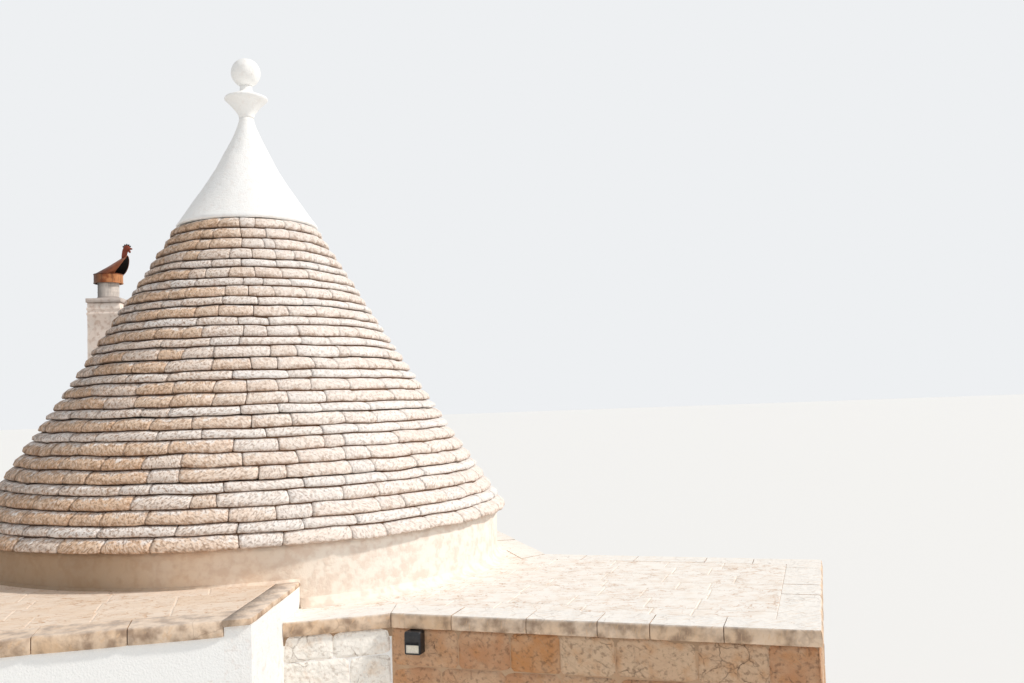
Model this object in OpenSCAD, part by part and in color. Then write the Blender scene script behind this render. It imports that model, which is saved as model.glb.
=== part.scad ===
// Trullo house: a round room under a dry-stone cone, set in a low walled block with a
// paved roof terrace on two levels, a slanted store wing, and a chimney with a wind cowl.
// Origin: the cone's axis at ground level. +Z up, the entrance on the -X side.

/* [Cone roof] */
// Height of the eaves above the ground
eaves_z = 3100; // [3000:10:3400]
// How far the lowest course stands out over the drum
eaves_out = 100; // [60:1:160]
// Radius of the roof at the foot of the white cap
top_r = 700; // [600:10:800]
// How far the roof's slope sags inwards half-way up
sag = 35; // [0:5:80]
// Height of a thick course of roof slabs
course_h = 109; // [95:1:120]
// Height of a thin course of roof slabs
thin_h = 80; // [65:1:90]
// Courses that are thin, counted from the eaves
thin_courses = [2, 5, 9, 11, 14, 17, 19, 21, 23, 25];
// Number of courses
course_n = 29; // [24:1:30]
// Depth of the joint between two courses
joint_d = 16; // [5:1:25]
// Width of the slab ring at the top of each band
skin_w = 260; // [200:10:320]

/* [Pinnacle] */
// Height of the white cap from its foot to its neck
cap_h = 1147; // [1000:1:1250]
// Curve of the cap's side, 1 is a straight cone
cap_curve = 1.29; // [1:0.01:1.6]
// Radius of the neck under the disc
neck_r = 72; // [60:1:90]
// Radius of the disc's rim
disc_r = 218; // [180:1:250]
// Height of the flared underside of the disc
flare_h = 207; // [150:1:240]
// Height of the disc's sloping top
disc_top_h = 80; // [50:1:100]
// Height of the collar that carries the ball
collar_h = 50; // [20:1:60]
// Radius of the collar
collar_r = 62; // [50:1:80]
// Depth of the ball's seat on the collar
ball_seat = 8; // [4:1:12]
// Thickness of the cap's edge at its foot
cap_lip = 18; // [10:1:30]
// Thickness of the disc's rim
disc_edge = 24; // [16:1:30]
// Radius of the ball
ball_r = 150; // [120:1:180]

/* [Drum and room] */
// Thickness of the plastered drum's wall
drum_t = 370; // [280:10:420]
// Radius of the round room
room_r = 1750; // [1600:10:1800]
// Thickness of the corbelled vault
vault_t = 230; // [180:10:260]
// Thickness of the rubble between the vault's foot and the drum
core_t = 100; // [50:10:150]
// Height of one corbelled ring of the vault
ring_h = 150; // [120:5:160]
// Number of corbelled rings
ring_n = 19; // [16:1:19]
// Number of stretches that each ring is laid in
wedge_n = 12; // [8:1:16]
// Height from the last ring to the point where the vault's curve would close
vault_rest = 150; // [100:10:300]
// Curve of the vault's side, 1 is a straight cone
vault_curve = 1.35; // [1.1:0.01:1.6]
// Thickness of the stone that closes the vault
keystone_t = 120; // [80:5:160]
// Thickness of the floors above the ground
floor_t = 120; // [80:5:150]

/* [Block] */
// Width of the terrace between the drum and the left face
walk_left = 350; // [310:10:450]
// Width of the terrace between the drum and the right face
walk_right = 325; // [290:5:400]
// Width of the terrace between the drum and the back face
walk_back = 400; // [380:10:540]
// Width of the terrace between the drum and the front face beside the wing
walk_front = 440; // [400:10:500]
// How far the raised part stands out in front of that face
raised_out = 710; // [400:10:1000]
// Where the raised part's side meets that face
step_x = 200; // [150:5:300]
// Angle of the raised part's side from the Y axis
step_a = 17; // [10:1:30]
// Where the step runs on behind the drum
step_back_x = 0; // [-300:10:300]

/* [Wing] */
// Width of the front face between the raised part and the wing
front_w = 775; // [650:5:800]
// Angle of the wing from the X axis
wing_a = 33; // [28:0.5:36]
// Width of the wing
wing_w = 2680; // [2500:10:2750]
// Length of the wing's front face
wing_l = 3000; // [2700:10:3300]
// Thickness of the wing's walls
wing_t = 450; // [400:10:500]
// Thickness of the wall between wing and block, at the wing's front
party_t = 550; // [500:10:600]
// Height at which the wing's vault springs
spring_z = 1900; // [1850:10:1950]
// Rise of the wing's vault
vault_rise = 400; // [300:10:450]

/* [Terrace] */
// Top of the lower terrace
low_z = 2615; // [2600:5:2650]
// Top of the raised terrace
high_z = 2815; // [2750:5:2850]
// Thickness of the lower terrace over the walls
terrace_t = 165; // [150:5:180]
// Thickness of the edge stones
coping_t = 100; // [80:5:120]
// Width of the edge stones
coping_w = 300; // [250:10:350]
// How far the edge stones stand out over the wall
coping_out = 30; // [0:5:60]
// Width of the white kerb at the step
kerb_w = 160; // [100:10:220]

/* [Openings] */
// Width of the entrance
door_w = 900; // [800:10:1000]
// Height of the entrance above the floor
door_h = 1980; // [1850:10:2050]
// Width of the store's doorway
store_w = 800; // [700:10:850]
// Height of the store's doorway above its floor
store_h = 1640; // [1600:10:1660]
// Thickness of the door leaves
leaf_t = 50; // [40:1:60]
// Play round a door leaf
leaf_play = 10; // [5:1:15]
// Depth of the entrance's leaf behind the outer face
leaf_in = 160; // [80:10:250]
// Width of the windows
win_w = 600; // [500:10:700]
// Height of the windows
win_h = 700; // [600:10:800]
// Height of the window sills above the ground
sill_z = 1250; // [1100:10:1350]
// Thickness of the window sills
sill_t = 70; // [50:5:90]
// How far the sills stand out of the wall
sill_out = 28; // [15:1:30]
// How far the sills run past the windows on both sides
sill_ears = 80; // [50:5:120]
// Fall of the window's bottom from the frame to the wall's face
sill_fall = 15; // [5:1:25]
// Height of that edge over the sill's nose
sill_lip = 3; // [2:1:6]
// Depth of the window frames behind the outer face
win_in = 140; // [100:5:200]
// Width of the window frames' bars
frame_w = 55; // [45:1:70]
// Thickness of the window frames
frame_t = 50; // [40:1:60]
// Thickness of the panes
pane_t = 8; // [4:1:12]

/* [Chimney] */
// Distance of the flue's axis from the left face
flue_left = 1136; // [1100:1:1200]
// Distance of the flue's axis from the back face
flue_back = 300; // [290:1:330]
// Angle by which the stack is turned
stack_a = 10; // [0:1:20]
// Side of the square stack
stack_w = 390; // [370:1:420]
// Top of the stack above the eaves
stack_top = 2435; // [2300:5:2600]
// Thickness of the stack's top slab
stack_cap_t = 52; // [40:1:70]
// How far the top slab stands out
stack_cap_out = 12; // [5:1:30]
// Height of the two mouldings under the top slab
fillet_h = 34; // [20:1:45]
// How far the mouldings stand out
fillet_out = 8; // [4:1:12]
// Distance from one moulding to the next, and from the first to the top slab
fillet_gap = 60; // [50:1:80]
// Height of the flue's foot above the terrace
flue_foot = 300; // [200:10:500]
// Outer radius of the flue pipe
pipe_r = 124; // [110:1:130]
// Thickness of the flue pipe
pipe_t = 3; // [2:0.5:5]
// Height of the pipe above the stack
pipe_up = 240; // [220:1:300]
// Depth of the pipe inside the stack
pipe_down = 300; // [200:10:400]
// Width of the ledge that the pipe stands on
pipe_ledge = 14; // [8:1:20]
// Depth of the bracket's arms below the pipe's top
arm_in = 40; // [35:1:80]
// Height of the bracket's arms
arm_h = 25; // [15:1:30]
// Thickness of the bracket's arms
arm_t = 6; // [4:1:8]

/* [Cowl] */
// Outer radius of the cowl's band
cowl_r = 168; // [160:1:180]
// Height of the cowl's band
band_h = 112; // [100:1:130]
// How far the band reaches down over the pipe
band_over = 46; // [30:1:60]
// Thickness of the cowl's sheet
sheet_t = 4; // [3:0.5:6]
// Radius of the pin that the cowl turns on
pin_r = 8; // [6:1:10]
// Wall of the cup that turns on the pin
cup_t = 6; // [4:1:8]
// Width of the strap that carries the cup
strap_w = 30; // [20:1:40]
// Thickness of the strap
strap_t = 6; // [4:1:8]
// Depth of the strap below the band's top
strap_in = 10; // [5:1:20]
// Distance of the hood's peak in front of the flue's axis
peak_x = 205; // [180:5:220]
// Height of the hood's peak above the band
peak_h = 232; // [210:2:240]
// Radius of the hood's ridge at its peak
peak_r = 12; // [8:1:16]
// Half width of the hood at its brow
brow_r = 52; // [40:1:60]
// Height from the brow to the peak
brow_in = 60; // [50:1:80]
// Lean of the hood's mouth
mouth_lean = 34; // [25:1:40]
// Height of the rooster's head and neck
head_h = 200; // [180:5:210]
// Thickness of the rooster's plate
plate_t = 14; // [8:1:20]
// Angle by which the cowl's mouth is turned from the X axis at rest
cowl_turn = 15; // [0:1:30]

/* [Lamp] */
// Distance of the lamp along the wing's front
lamp_u = 201; // [150:1:600]
// Bottom of the lamp above the ground
lamp_z = 2342; // [2200:1:2345]
// Width of the lamp
lamp_w = 127; // [100:1:150]
// Height of the lamp
lamp_h = 165; // [140:1:165]
// Depth of the lamp
lamp_d = 90; // [70:1:110]
// Width of the lamp's rim round the lens
lamp_rim = 12; // [8:1:16]
// Height of the lens
lens_h = 60; // [50:1:70]
// Depth of the lens
lens_d = 53; // [30:1:56]

/* [Hidden] */
$fn = 96;

// Running gap between pieces that fit into each other
fit = 0.3;
// Play of the cowl's cup round its pin
pin_play = 0.1;
// A length beyond every outline
far = 9000;
wall_top = low_z - terrace_t;
drum_in = room_r + vault_t + core_t;
drum_r = drum_in + drum_t;
rim_r = drum_r + eaves_out;
block_left = drum_r + walk_left;
block_right = drum_r + walk_right;
block_back = drum_r + walk_back;
recess_y = drum_r + walk_front;
block_front = recess_y + raised_out;
corner_x = step_x + front_w;
flue_x = block_left - flue_left;
flue_y = block_back - flue_back;
store_u = (wing_l - wing_t + party_t - store_w) / 2;

// Geometry helpers
function along(p, u, d) = [p[0] + u[0] * d, p[1] + u[1] * d];
function cross2(a, b) = a[0] * b[1] - a[1] * b[0];
function meet(p, u, q, w) = along(p, u, cross2(q - p, w) / cross2(u, w));
function unit(v) = v / norm(v);

// An outline whose edges lie d inside the first one, for points that run anticlockwise
function inset(pts, d) = [for (i = [0 : len(pts) - 1])
    let (n = len(pts),
        a = unit(pts[i] - pts[(i + n - 1) % n]),
        b = unit(pts[(i + 1) % n] - pts[i]),
        na = [-a[1], a[0]],
        nb = [-b[1], b[0]])
    pts[i] + (na + nb) * d / (1 + na * nb)];

// Corners of the house in plan
wing_u = [cos(wing_a), -sin(wing_a)];
wing_v = [sin(wing_a), cos(wing_a)];
step_dir = [-sin(step_a), -cos(step_a)];
step_foot = [step_x, -recess_y];
step_end = along(step_foot, step_dir, (block_front - recess_y) / cos(step_a));
wing_start = [corner_x, -recess_y];
wing_inner = along(wing_start, wing_v, wing_w);
wing_tip = along(wing_start, wing_u, wing_l);
wing_heel = along(wing_inner, wing_u, wing_l);
wing_root = meet(wing_inner, wing_u, [block_right, 0], [0, 1]);
back_right = [block_right, block_back];
back_left = [-block_left, block_back];
front_left = [-block_left, -block_front];

house = [front_left, step_end, step_foot, wing_start, wing_tip, wing_heel, wing_root,
    back_right, back_left];
raised = [front_left, step_end, along(step_foot, step_dir, -recess_y / 2), [step_back_x, 0],
    [step_back_x, block_back], back_left];

// Course k starts at this height above the eaves
function is_thin(k) = len(search(k + 1, thin_courses)) > 0;
function course_z(k) = k == 0 ? 0 : course_z(k - 1) + (is_thin(k - 1) ? thin_h : course_h);
cone_h = course_z(course_n);
function cone_r(z) = let (t = z / cone_h)
    rim_r + (top_r - rim_r) * t - 4 * sag * t * (1 - t);

// Roof bands of five courses, the last one takes what is left
band_n = 6;
band_courses = ceil(course_n / band_n);
function band_first(b) = min(b * band_courses, course_n);
function band_in(b) = cone_r(course_z(band_first(b + 1))) - skin_w;

// Vault
vault_h = ring_n * ring_h + vault_rest;
function vault_in(z) = room_r * (1 - pow(z / vault_h, vault_curve));
function vault_out(z) = vault_in(z) + vault_t;
vault_top = wall_top + ring_n * ring_h;
ring_split = floor(ring_n / 2);

cap_z = eaves_z + cone_h;
disc_z = cap_z + cap_h;
collar_z = disc_z + flare_h + disc_top_h;
ball_z = collar_z + collar_h + ball_r - ball_seat;

door_top = floor_t + door_h;
store_top = floor_t + store_h;
stack_z = eaves_z + stack_top;
pipe_top = stack_z + pipe_up;
band_z = pipe_top - band_over;
hood_z = band_z + band_h;
strap_z = hood_z - strap_in - strap_t;
pin_top = strap_z - fit;

module room_circle(gap = 0) {
    circle(r = room_r - gap, $fn = 96);
}

// A wall runs from the round room out to the given corners of the block
module wall(corners) {
    linear_extrude(wall_top) difference() {
        polygon(concat([[0, 0]], corners));
        room_circle();
    }
}

// Puts its children in the wing's own axes, from the corner where its front face starts
module on_wing() {
    translate([wing_start[0], wing_start[1], 0]) rotate([0, 0, -wing_a]) children();
}

module floors() {
    color("tan") {
        linear_extrude(floor_t) {
            room_circle(fit);
            translate([-block_left, -door_w / 2 + fit])
                square([block_left - room_r / 2, door_w - 2 * fit]);
        }
        on_wing() {
            translate([party_t + fit, wing_t + fit, 0])
                cube([wing_l - wing_t - party_t - 2 * fit, wing_w - 2 * wing_t - 2 * fit, floor_t]);
            translate([store_u + fit, 0, 0])
                cube([store_w - 2 * fit, wing_t + 2 * fit, floor_t]);
        }
    }
}

module front_wall() {
    color("white") wall([front_left, step_end, step_foot, wing_start]);
}

module party_wall() {
    color("burlywood") wall([wing_start, along(wing_start, wing_u, party_t),
        along(wing_inner, wing_u, party_t), wing_root]);
}

// The bottom falls from the frame to the wall's face, so that rain runs out over the sill
module window_hole(depth) {
    translate([-win_w / 2, 0, 0]) rotate([90, 0, 90]) linear_extrude(win_w)
        polygon([[-depth, 0], [-win_in, 0], [0, -sill_fall], [sill_out, -sill_fall],
            [sill_out, win_h], [-depth, win_h]]);
}

module at_back_window() {
    translate([0, block_back, sill_z]) children();
}

module at_right_window() {
    translate([block_right, room_r / 3, sill_z]) rotate([0, 0, -90]) children();
}

// The nose of the sill stands out of the wall, with an ear on each side of the window
module window_sill() {
    w = win_w + 2 * sill_ears;
    translate([-w / 2, -sill_t, -sill_fall - sill_t]) cube([w, sill_t + sill_out, sill_t - sill_lip]);
}

module right_wall() {
    color("burlywood") {
        difference() {
            wall([wing_root, back_right]);
            at_right_window() window_hole(block_right);
        }
        at_right_window() window_sill();
    }
}

module back_wall() {
    color("burlywood") {
        difference() {
            wall([back_right, back_left]);
            at_back_window() window_hole(block_back);
        }
        at_back_window() window_sill();
    }
}

module left_side(y0, y1) {
    intersection() {
        wall([back_left, front_left]);
        translate([-far, y0, -1]) cube([far, y1 - y0, wall_top + 2]);
    }
}

module left_wall_front() {
    color("white") left_side(-far, -door_w / 2);
}

module left_wall_back() {
    color("white") left_side(door_w / 2, far);
}

// The stones over the entrance and over the store's doorway
module lintels() {
    color("white") {
        translate([0, 0, door_top]) linear_extrude(wall_top - door_top) difference() {
            translate([-block_left, -door_w / 2]) square([block_left, door_w]);
            room_circle();
        }
        on_wing() translate([store_u, 0, store_top]) cube([store_w, wing_t, spring_z - store_top]);
    }
}

module wing_front_wall() {
    color("burlywood") on_wing() {
        translate([party_t + fit, 0, 0]) cube([store_u - party_t - fit, wing_t, spring_z]);
        translate([store_u + store_w, 0, 0])
            cube([wing_l - wing_t - store_u - store_w, wing_t, spring_z]);
    }
}

module wing_end_wall() {
    color("burlywood") on_wing() translate([wing_l - wing_t, 0, 0])
        cube([wing_t, wing_w, wall_top]);
}

module wing_back_wall() {
    color("burlywood") on_wing() translate([party_t + fit, wing_w - wing_t, 0])
        cube([wing_l - wing_t - party_t - fit, wing_t, spring_z]);
}

module wing_vault() {
    half = wing_w / 2 - wing_t;
    arc_r = (half * half + vault_rise * vault_rise) / (2 * vault_rise);
    color("tan") on_wing() difference() {
        translate([party_t + fit, 0, spring_z])
            cube([wing_l - wing_t - party_t - fit, wing_w, wall_top - spring_z]);
        translate([0, wing_w / 2, spring_z + vault_rise - arc_r]) rotate([0, 90, 0])
            cylinder(r = arc_r, h = wing_l, $fn = 96);
    }
}

module drum_part(a) {
    color("antiquewhite") translate([0, 0, wall_top]) linear_extrude(eaves_z - wall_top)
        difference() {
            intersection() {
                circle(r = drum_r, $fn = 96);
                rotate(a) polygon([[0, 0], [far, -far], [far, far]]);
            }
            circle(r = drum_in, $fn = 96);
        }
}

// Upright joints that part a round mass of masonry into wedges
module wedge_joints() {
    for (i = [0 : wedge_n - 1]) rotate((i + 0.5) * 360 / wedge_n)
        translate([0, -fit / 2, 0]) cube([far, fit, far]);
}

// Rings r0 to r1 of the corbelled vault, each with its inner face dressed to the slope
module vault_rings(r0, r1) {
    color("wheat") difference() {
        translate([0, 0, wall_top]) rotate_extrude($fn = 96) polygon(concat(
            [for (i = [r0 : r1]) [vault_in(i * ring_h), i * ring_h]],
            [for (i = [r1 : -1 : r0]) [vault_out(i * ring_h), i * ring_h]]));
        wedge_joints();
    }
}

module vault_keystone() {
    color("wheat") translate([0, 0, vault_top])
        cylinder(r = vault_out(ring_n * ring_h), h = keystone_t, $fn = 96);
}

// Rubble between the vault and the slab rings
module roof_core() {
    top_in = vault_out(ring_n * ring_h) + fit;
    color("rosybrown") difference() {
        rotate_extrude($fn = 96) polygon(concat(
            [[0, cap_z], [0, vault_top + keystone_t], [top_in, vault_top + keystone_t]],
            [for (i = [ring_n : -1 : 0]) [vault_out(i * ring_h) + fit, wall_top + i * ring_h]],
            [[drum_in - fit, wall_top], [drum_in - fit, eaves_z]],
            [for (b = [0 : band_n - 1]) each [
                [band_in(b) - fit, eaves_z + course_z(band_first(b))],
                [band_in(b) - fit, eaves_z + course_z(band_first(b + 1))]]]));
        wedge_joints();
    }
}

// Nose of one course: a cushion that starts behind the joint and falls back at its top
function nose(k) = let (z = course_z(k),
        h = course_z(k + 1) - z,
        r = cone_r(z),
        back = cone_r(z + h) - joint_d)
    [[r - joint_d, z], [r - 0.2 * joint_d, z + 0.1 * h], [r, z + 0.28 * h],
        [r - 0.3 * joint_d, z + 0.5 * h],
        [r - 0.22 * (r - back), z + 0.72 * h], [r - 0.5 * (r - back), z + 0.88 * h],
        [back, z + h]];

module roof_band(b) {
    k0 = band_first(b);
    k1 = band_first(b + 1);
    color(b % 2 == 0 ? "tan" : "burlywood") translate([0, 0, eaves_z])
        rotate_extrude($fn = 96) polygon(concat(
            [for (k = [k0 : k1 - 1]) each nose(k)],
            [[band_in(b), course_z(k1)], [band_in(b), course_z(k0)]]));
}

module white_cap() {
    steps = 14;
    color("white") translate([0, 0, cap_z]) rotate_extrude($fn = 96) polygon(concat(
        [[0, 0], [top_r - cap_lip / 4, 0]],
        [for (i = [0 : steps]) let (t = i / steps)
            [neck_r + (top_r - neck_r) * pow(1 - t, cap_curve), cap_lip + (cap_h - cap_lip) * t]],
        [[0, cap_h]]));
}

module pinnacle_disc() {
    steps = 8;
    edge = disc_edge / 2;
    color("white") translate([0, 0, disc_z]) rotate_extrude($fn = 64) polygon(concat(
        [[0, 0]],
        [for (i = [0 : steps]) let (t = i / steps)
            [neck_r + (disc_r - neck_r) * pow(t, 1.5), (flare_h - edge) * t]],
        [[disc_r, flare_h + edge / 2], [disc_r - edge, flare_h + edge],
            [collar_r + edge / 2, flare_h + disc_top_h], [collar_r, flare_h + disc_top_h + edge / 2],
            [collar_r, flare_h + disc_top_h + collar_h], [0, flare_h + disc_top_h + collar_h]]));
}

// The ball is bedded on the collar with a flat seat
module pinnacle_ball() {
    seat = collar_z + collar_h;
    color("white") difference() {
        translate([0, 0, ball_z]) sphere(r = ball_r, $fn = 64);
        translate([0, 0, seat - ball_r]) cylinder(r = ball_r, h = ball_r, $fn = 64);
    }
}

module outside_drum() {
    difference() {
        children();
        circle(r = drum_r + fit, $fn = 96);
    }
}

// The strip of the white kerb at the step, in front of the drum and behind it
module kerb_strip() {
    outside_drum() intersection() {
        polygon(raised);
        union() {
            translate([step_foot[0], step_foot[1]]) rotate(-step_a)
                translate([-kerb_w, -recess_y]) square([2 * kerb_w, 1.5 * recess_y]);
            translate([step_back_x - kerb_w, 0]) square([2 * kerb_w, block_back + 1]);
        }
    }
}

module terrace_kerb() {
    color("white") translate([0, 0, wall_top + fit]) linear_extrude(high_z - wall_top - fit)
        kerb_strip();
}

// The strip that edge stones lie on
module edge_strip() {
    difference() {
        polygon(inset(house, -coping_out));
        polygon(inset(house, coping_w - coping_out));
    }
}

module high_area() {
    outside_drum() difference() {
        polygon(raised);
        kerb_strip();
    }
}

module low_area() {
    outside_drum() difference() {
        polygon(house);
        raised_side(fit);
    }
}

// Everything on the raised terrace's side of the step, grown by d
module raised_side(d = 0) {
    offset(delta = d) polygon([front_left - [far, far], step_end + far * step_dir,
        along(step_foot, step_dir, -recess_y / 2), [step_back_x, 0], [step_back_x, far],
        [-far, far]]);
}

// A terrace: a bed over the whole area and paving inside the edge stones
module terrace(top) {
    translate([0, 0, wall_top + fit]) linear_extrude(top - coping_t - wall_top - fit) children();
    translate([0, 0, top - coping_t]) linear_extrude(coping_t) difference() {
        children();
        edge_strip();
    }
}

module terrace_low() {
    color("linen") terrace(low_z) low_area();
}

module terrace_high() {
    color("linen") terrace(high_z) high_area();
}

module coping_low() {
    color("bisque") translate([0, 0, low_z - coping_t]) linear_extrude(coping_t) outside_drum()
        difference() {
            edge_strip();
            raised_side(fit);
        }
}

module coping_high() {
    color("bisque") translate([0, 0, high_z - coping_t]) linear_extrude(coping_t) outside_drum()
        difference() {
            intersection() {
                edge_strip();
                raised_side();
            }
            kerb_strip();
        }
}

// Puts its children on the flue's axis
module on_flue(turn = 0) {
    translate([-flue_x, flue_y, 0]) rotate([0, 0, -turn]) children();
}

module chimney_stack() {
    body_h = stack_z - stack_cap_t - high_z;
    ledge = stack_z - pipe_down;
    fillet_w = stack_w + 2 * fillet_out;
    color("white") on_flue(stack_a) difference() {
        union() {
            translate([-stack_w / 2, -stack_w / 2, high_z]) cube([stack_w, stack_w, body_h]);
            for (i = [1, 2])
                translate([-fillet_w / 2, -fillet_w / 2, stack_z - stack_cap_t - fillet_h - i * fillet_gap])
                    cube([fillet_w, fillet_w, fillet_h]);
        }
        translate([0, 0, high_z + flue_foot]) cylinder(r = pipe_r - pipe_ledge, h = body_h);
        translate([0, 0, ledge]) cylinder(r = pipe_r + fit, h = pipe_down);
    }
}

module chimney_cap() {
    side = stack_w + 2 * stack_cap_out;
    color("gainsboro") on_flue(stack_a) difference() {
        translate([-side / 2, -side / 2, stack_z - stack_cap_t]) cube([side, side, stack_cap_t]);
        translate([0, 0, stack_z - stack_cap_t - 1])
            cylinder(r = pipe_r + fit, h = stack_cap_t + 2);
    }
}

// The pipe carries a three-armed bracket with the pin that the cowl turns on
module flue_pipe() {
    arm_z = pipe_top - arm_in;
    color("silver") on_flue() {
        difference() {
            translate([0, 0, stack_z - pipe_down])
                cylinder(r = pipe_r, h = pipe_top - stack_z + pipe_down);
            translate([0, 0, stack_z - pipe_down - 1])
                cylinder(r = pipe_r - pipe_t, h = pipe_top - stack_z + pipe_down + 2);
        }
        for (i = [0 : 2]) rotate([0, 0, 60 + 120 * i])
            translate([0, -arm_t / 2, arm_z]) cube([pipe_r - pipe_t / 2, arm_t, arm_h]);
        translate([0, 0, arm_z]) cylinder(r = 2 * pin_r, h = arm_h);
        translate([0, 0, arm_z]) cylinder(r = pin_r, h = pin_top - arm_z);
    }
}

// The band, a strap across it, and the cup that turns on the pin
module cowl_ring() {
    cup_low = pipe_top + band_over / 3;
    color("saddlebrown") on_flue(cowl_turn) {
        difference() {
            translate([0, 0, band_z]) cylinder(r = cowl_r, h = band_h);
            translate([0, 0, band_z - 1]) cylinder(r = cowl_r - sheet_t, h = band_h + 2);
        }
        translate([-strap_w / 2, -cowl_r + sheet_t / 2, strap_z])
            cube([strap_w, 2 * cowl_r - sheet_t, strap_t]);
        difference() {
            translate([0, 0, cup_low])
                cylinder(r = pin_r + cup_t, h = strap_z + strap_t / 2 - cup_low);
            translate([0, 0, cup_low - 1]) cylinder(r = pin_r + pin_play, h = strap_z + 1 - cup_low);
        }
    }
}

// The outer shape of the hood, drawn in by d all round
module hood_shape(d) {
    hull() {
        cylinder(r = cowl_r - d, h = 1, $fn = 40);
        translate([peak_x - 0.42 * brow_r, 0, peak_h - brow_in - d]) scale([0.45, 1, 1])
            cylinder(r = brow_r - d, h = 2 * sheet_t, $fn = 24);
        translate([peak_x - d, 0, peak_h - peak_r - d]) sphere(r = peak_r, $fn = 16);
    }
}

module cowl_hood() {
    color("sienna") on_flue(cowl_turn) translate([0, 0, hood_z]) difference() {
        hood_shape(0);
        translate([0, 0, -1]) hood_shape(sheet_t);
        translate([peak_x - peak_r, 0, peak_h - 5 * sheet_t]) rotate([0, mouth_lean, 0])
            translate([0, -cowl_r, -2 * peak_h]) cube([cowl_r * 2, cowl_r * 2, 2 * peak_h]);
    }
}

// Side view of the rooster's neck and head, from the foot of the neck: a neck that widens
// downwards, a round head with a beak, a wattle under it and a comb of five lobes
module rooster_outline() {
    head_r = 0.21 * head_h;
    head = [0.25 * head_h, 0.64 * head_h];
    lobe_r = head_r / 3;
    hull() {
        translate([0, -head_r]) square([0.2 * head_h, head_r]);
        translate([0.19 * head_h, 0.55 * head_h]) circle(r = 0.8 * head_r);
    }
    translate(head) {
        circle(r = head_r);
        hull() {
            circle(r = 0.55 * head_r);
            translate([1.7 * head_r, -0.2 * head_r]) circle(r = lobe_r / 5);
        }
        hull() {
            translate([0.72 * head_r, -0.75 * head_r]) circle(r = lobe_r);
            translate([1.1 * head_r, -1.4 * head_r]) circle(r = lobe_r / 2);
        }
        for (i = [0 : 4]) rotate(150 - 30 * i) translate([head_r, 0]) circle(r = lobe_r);
    }
}

// The plate stands on the hood's ridge
module rooster_head() {
    color("firebrick") on_flue(cowl_turn) translate([0, 0, hood_z]) difference() {
        translate([peak_x - 0.2 * head_h, plate_t / 2, peak_h - 0.2 * head_h]) rotate([90, 0, 0])
            linear_extrude(plate_t) rooster_outline();
        hood_shape(0);
    }
}

// The lens fills a recess in the lower half of the lamp's front
module lamp_recess(play) {
    on_wing() translate([lamp_u - lamp_w / 2 + lamp_rim, -lamp_d, lamp_z + lamp_rim])
        translate([0, play, 0]) cube([lamp_w - 2 * lamp_rim, lens_d, lens_h]);
}

module lamp_body() {
    color("dimgray") difference() {
        on_wing() translate([lamp_u - lamp_w / 2, -lamp_d, lamp_z])
            cube([lamp_w, lamp_d, lamp_h]);
        lamp_recess(-1);
        lamp_recess(lamp_rim / 2);
    }
}

module lamp_lens() {
    color("wheat") lamp_recess(lamp_rim / 2);
}

// Both leaves stand open: one against the entrance's reveal, one inside the store
module door_leaves() {
    color("sienna") {
        translate([leaf_in - block_left, -door_w / 2, floor_t + leaf_play])
            cube([door_w - leaf_play, leaf_t, door_h - 2 * leaf_play]);
        on_wing() translate([store_u - leaf_t, wing_t + fit, floor_t + leaf_play])
            cube([leaf_t, store_w - leaf_play, store_h - 2 * leaf_play]);
    }
}

module window_frame() {
    translate([0, -win_in - frame_t, 0]) difference() {
        translate([-win_w / 2, 0, 0]) cube([win_w, frame_t, win_h]);
        for (side = [0, 1])
            translate([-win_w / 2 + frame_w + side * (win_w - frame_w) / 2, -1, frame_w])
                cube([(win_w - 3 * frame_w) / 2, frame_t + 2, win_h - 2 * frame_w]);
    }
}

module window_pane() {
    for (side = [0, 1])
        translate([-win_w / 2 + frame_w + side * (win_w - frame_w) / 2,
            -win_in - (frame_t + pane_t) / 2, frame_w])
            cube([(win_w - 3 * frame_w) / 2, pane_t, win_h - 2 * frame_w]);
}

module window_frames() {
    color("peru") {
        at_back_window() window_frame();
        at_right_window() window_frame();
    }
}

module window_panes() {
    color("lightblue") {
        at_back_window() window_pane();
        at_right_window() window_pane();
    }
}

floors();
front_wall();
left_wall_front();
left_wall_back();
lintels();
back_wall();
right_wall();
party_wall();
wing_front_wall();
wing_end_wall();
wing_back_wall();
wing_vault();
drum_part(-90);  // drum_front
drum_part(0);  // drum_right
drum_part(90);  // drum_back
drum_part(180);  // drum_left
vault_rings(0, ring_split);  // vault_lower
vault_rings(ring_split, ring_n);  // vault_upper
vault_keystone();
roof_core();
roof_band(0);  // roof_band_1
roof_band(1);  // roof_band_2
roof_band(2);  // roof_band_3
roof_band(3);  // roof_band_4
roof_band(4);  // roof_band_5
roof_band(5);  // roof_band_6
white_cap();
pinnacle_disc();
pinnacle_ball();
terrace_low();
terrace_high();
terrace_kerb();
coping_low();
coping_high();
chimney_stack();
chimney_cap();
flue_pipe();
cowl_ring();
cowl_hood();
rooster_head();
lamp_body();
lamp_lens();
door_leaves();
window_frames();
window_panes();
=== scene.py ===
# Trullo house: looks for a round room under a dry-stone cone, laid out as an add-on.
import math
import random

import bmesh
import bpy
from bpy.props import (
    FloatProperty,
    FloatVectorProperty,
    IntProperty,
    PointerProperty,
)
from mathutils import Matrix, Vector, noise
from mathutils.geometry import interpolate_bezier


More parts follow.
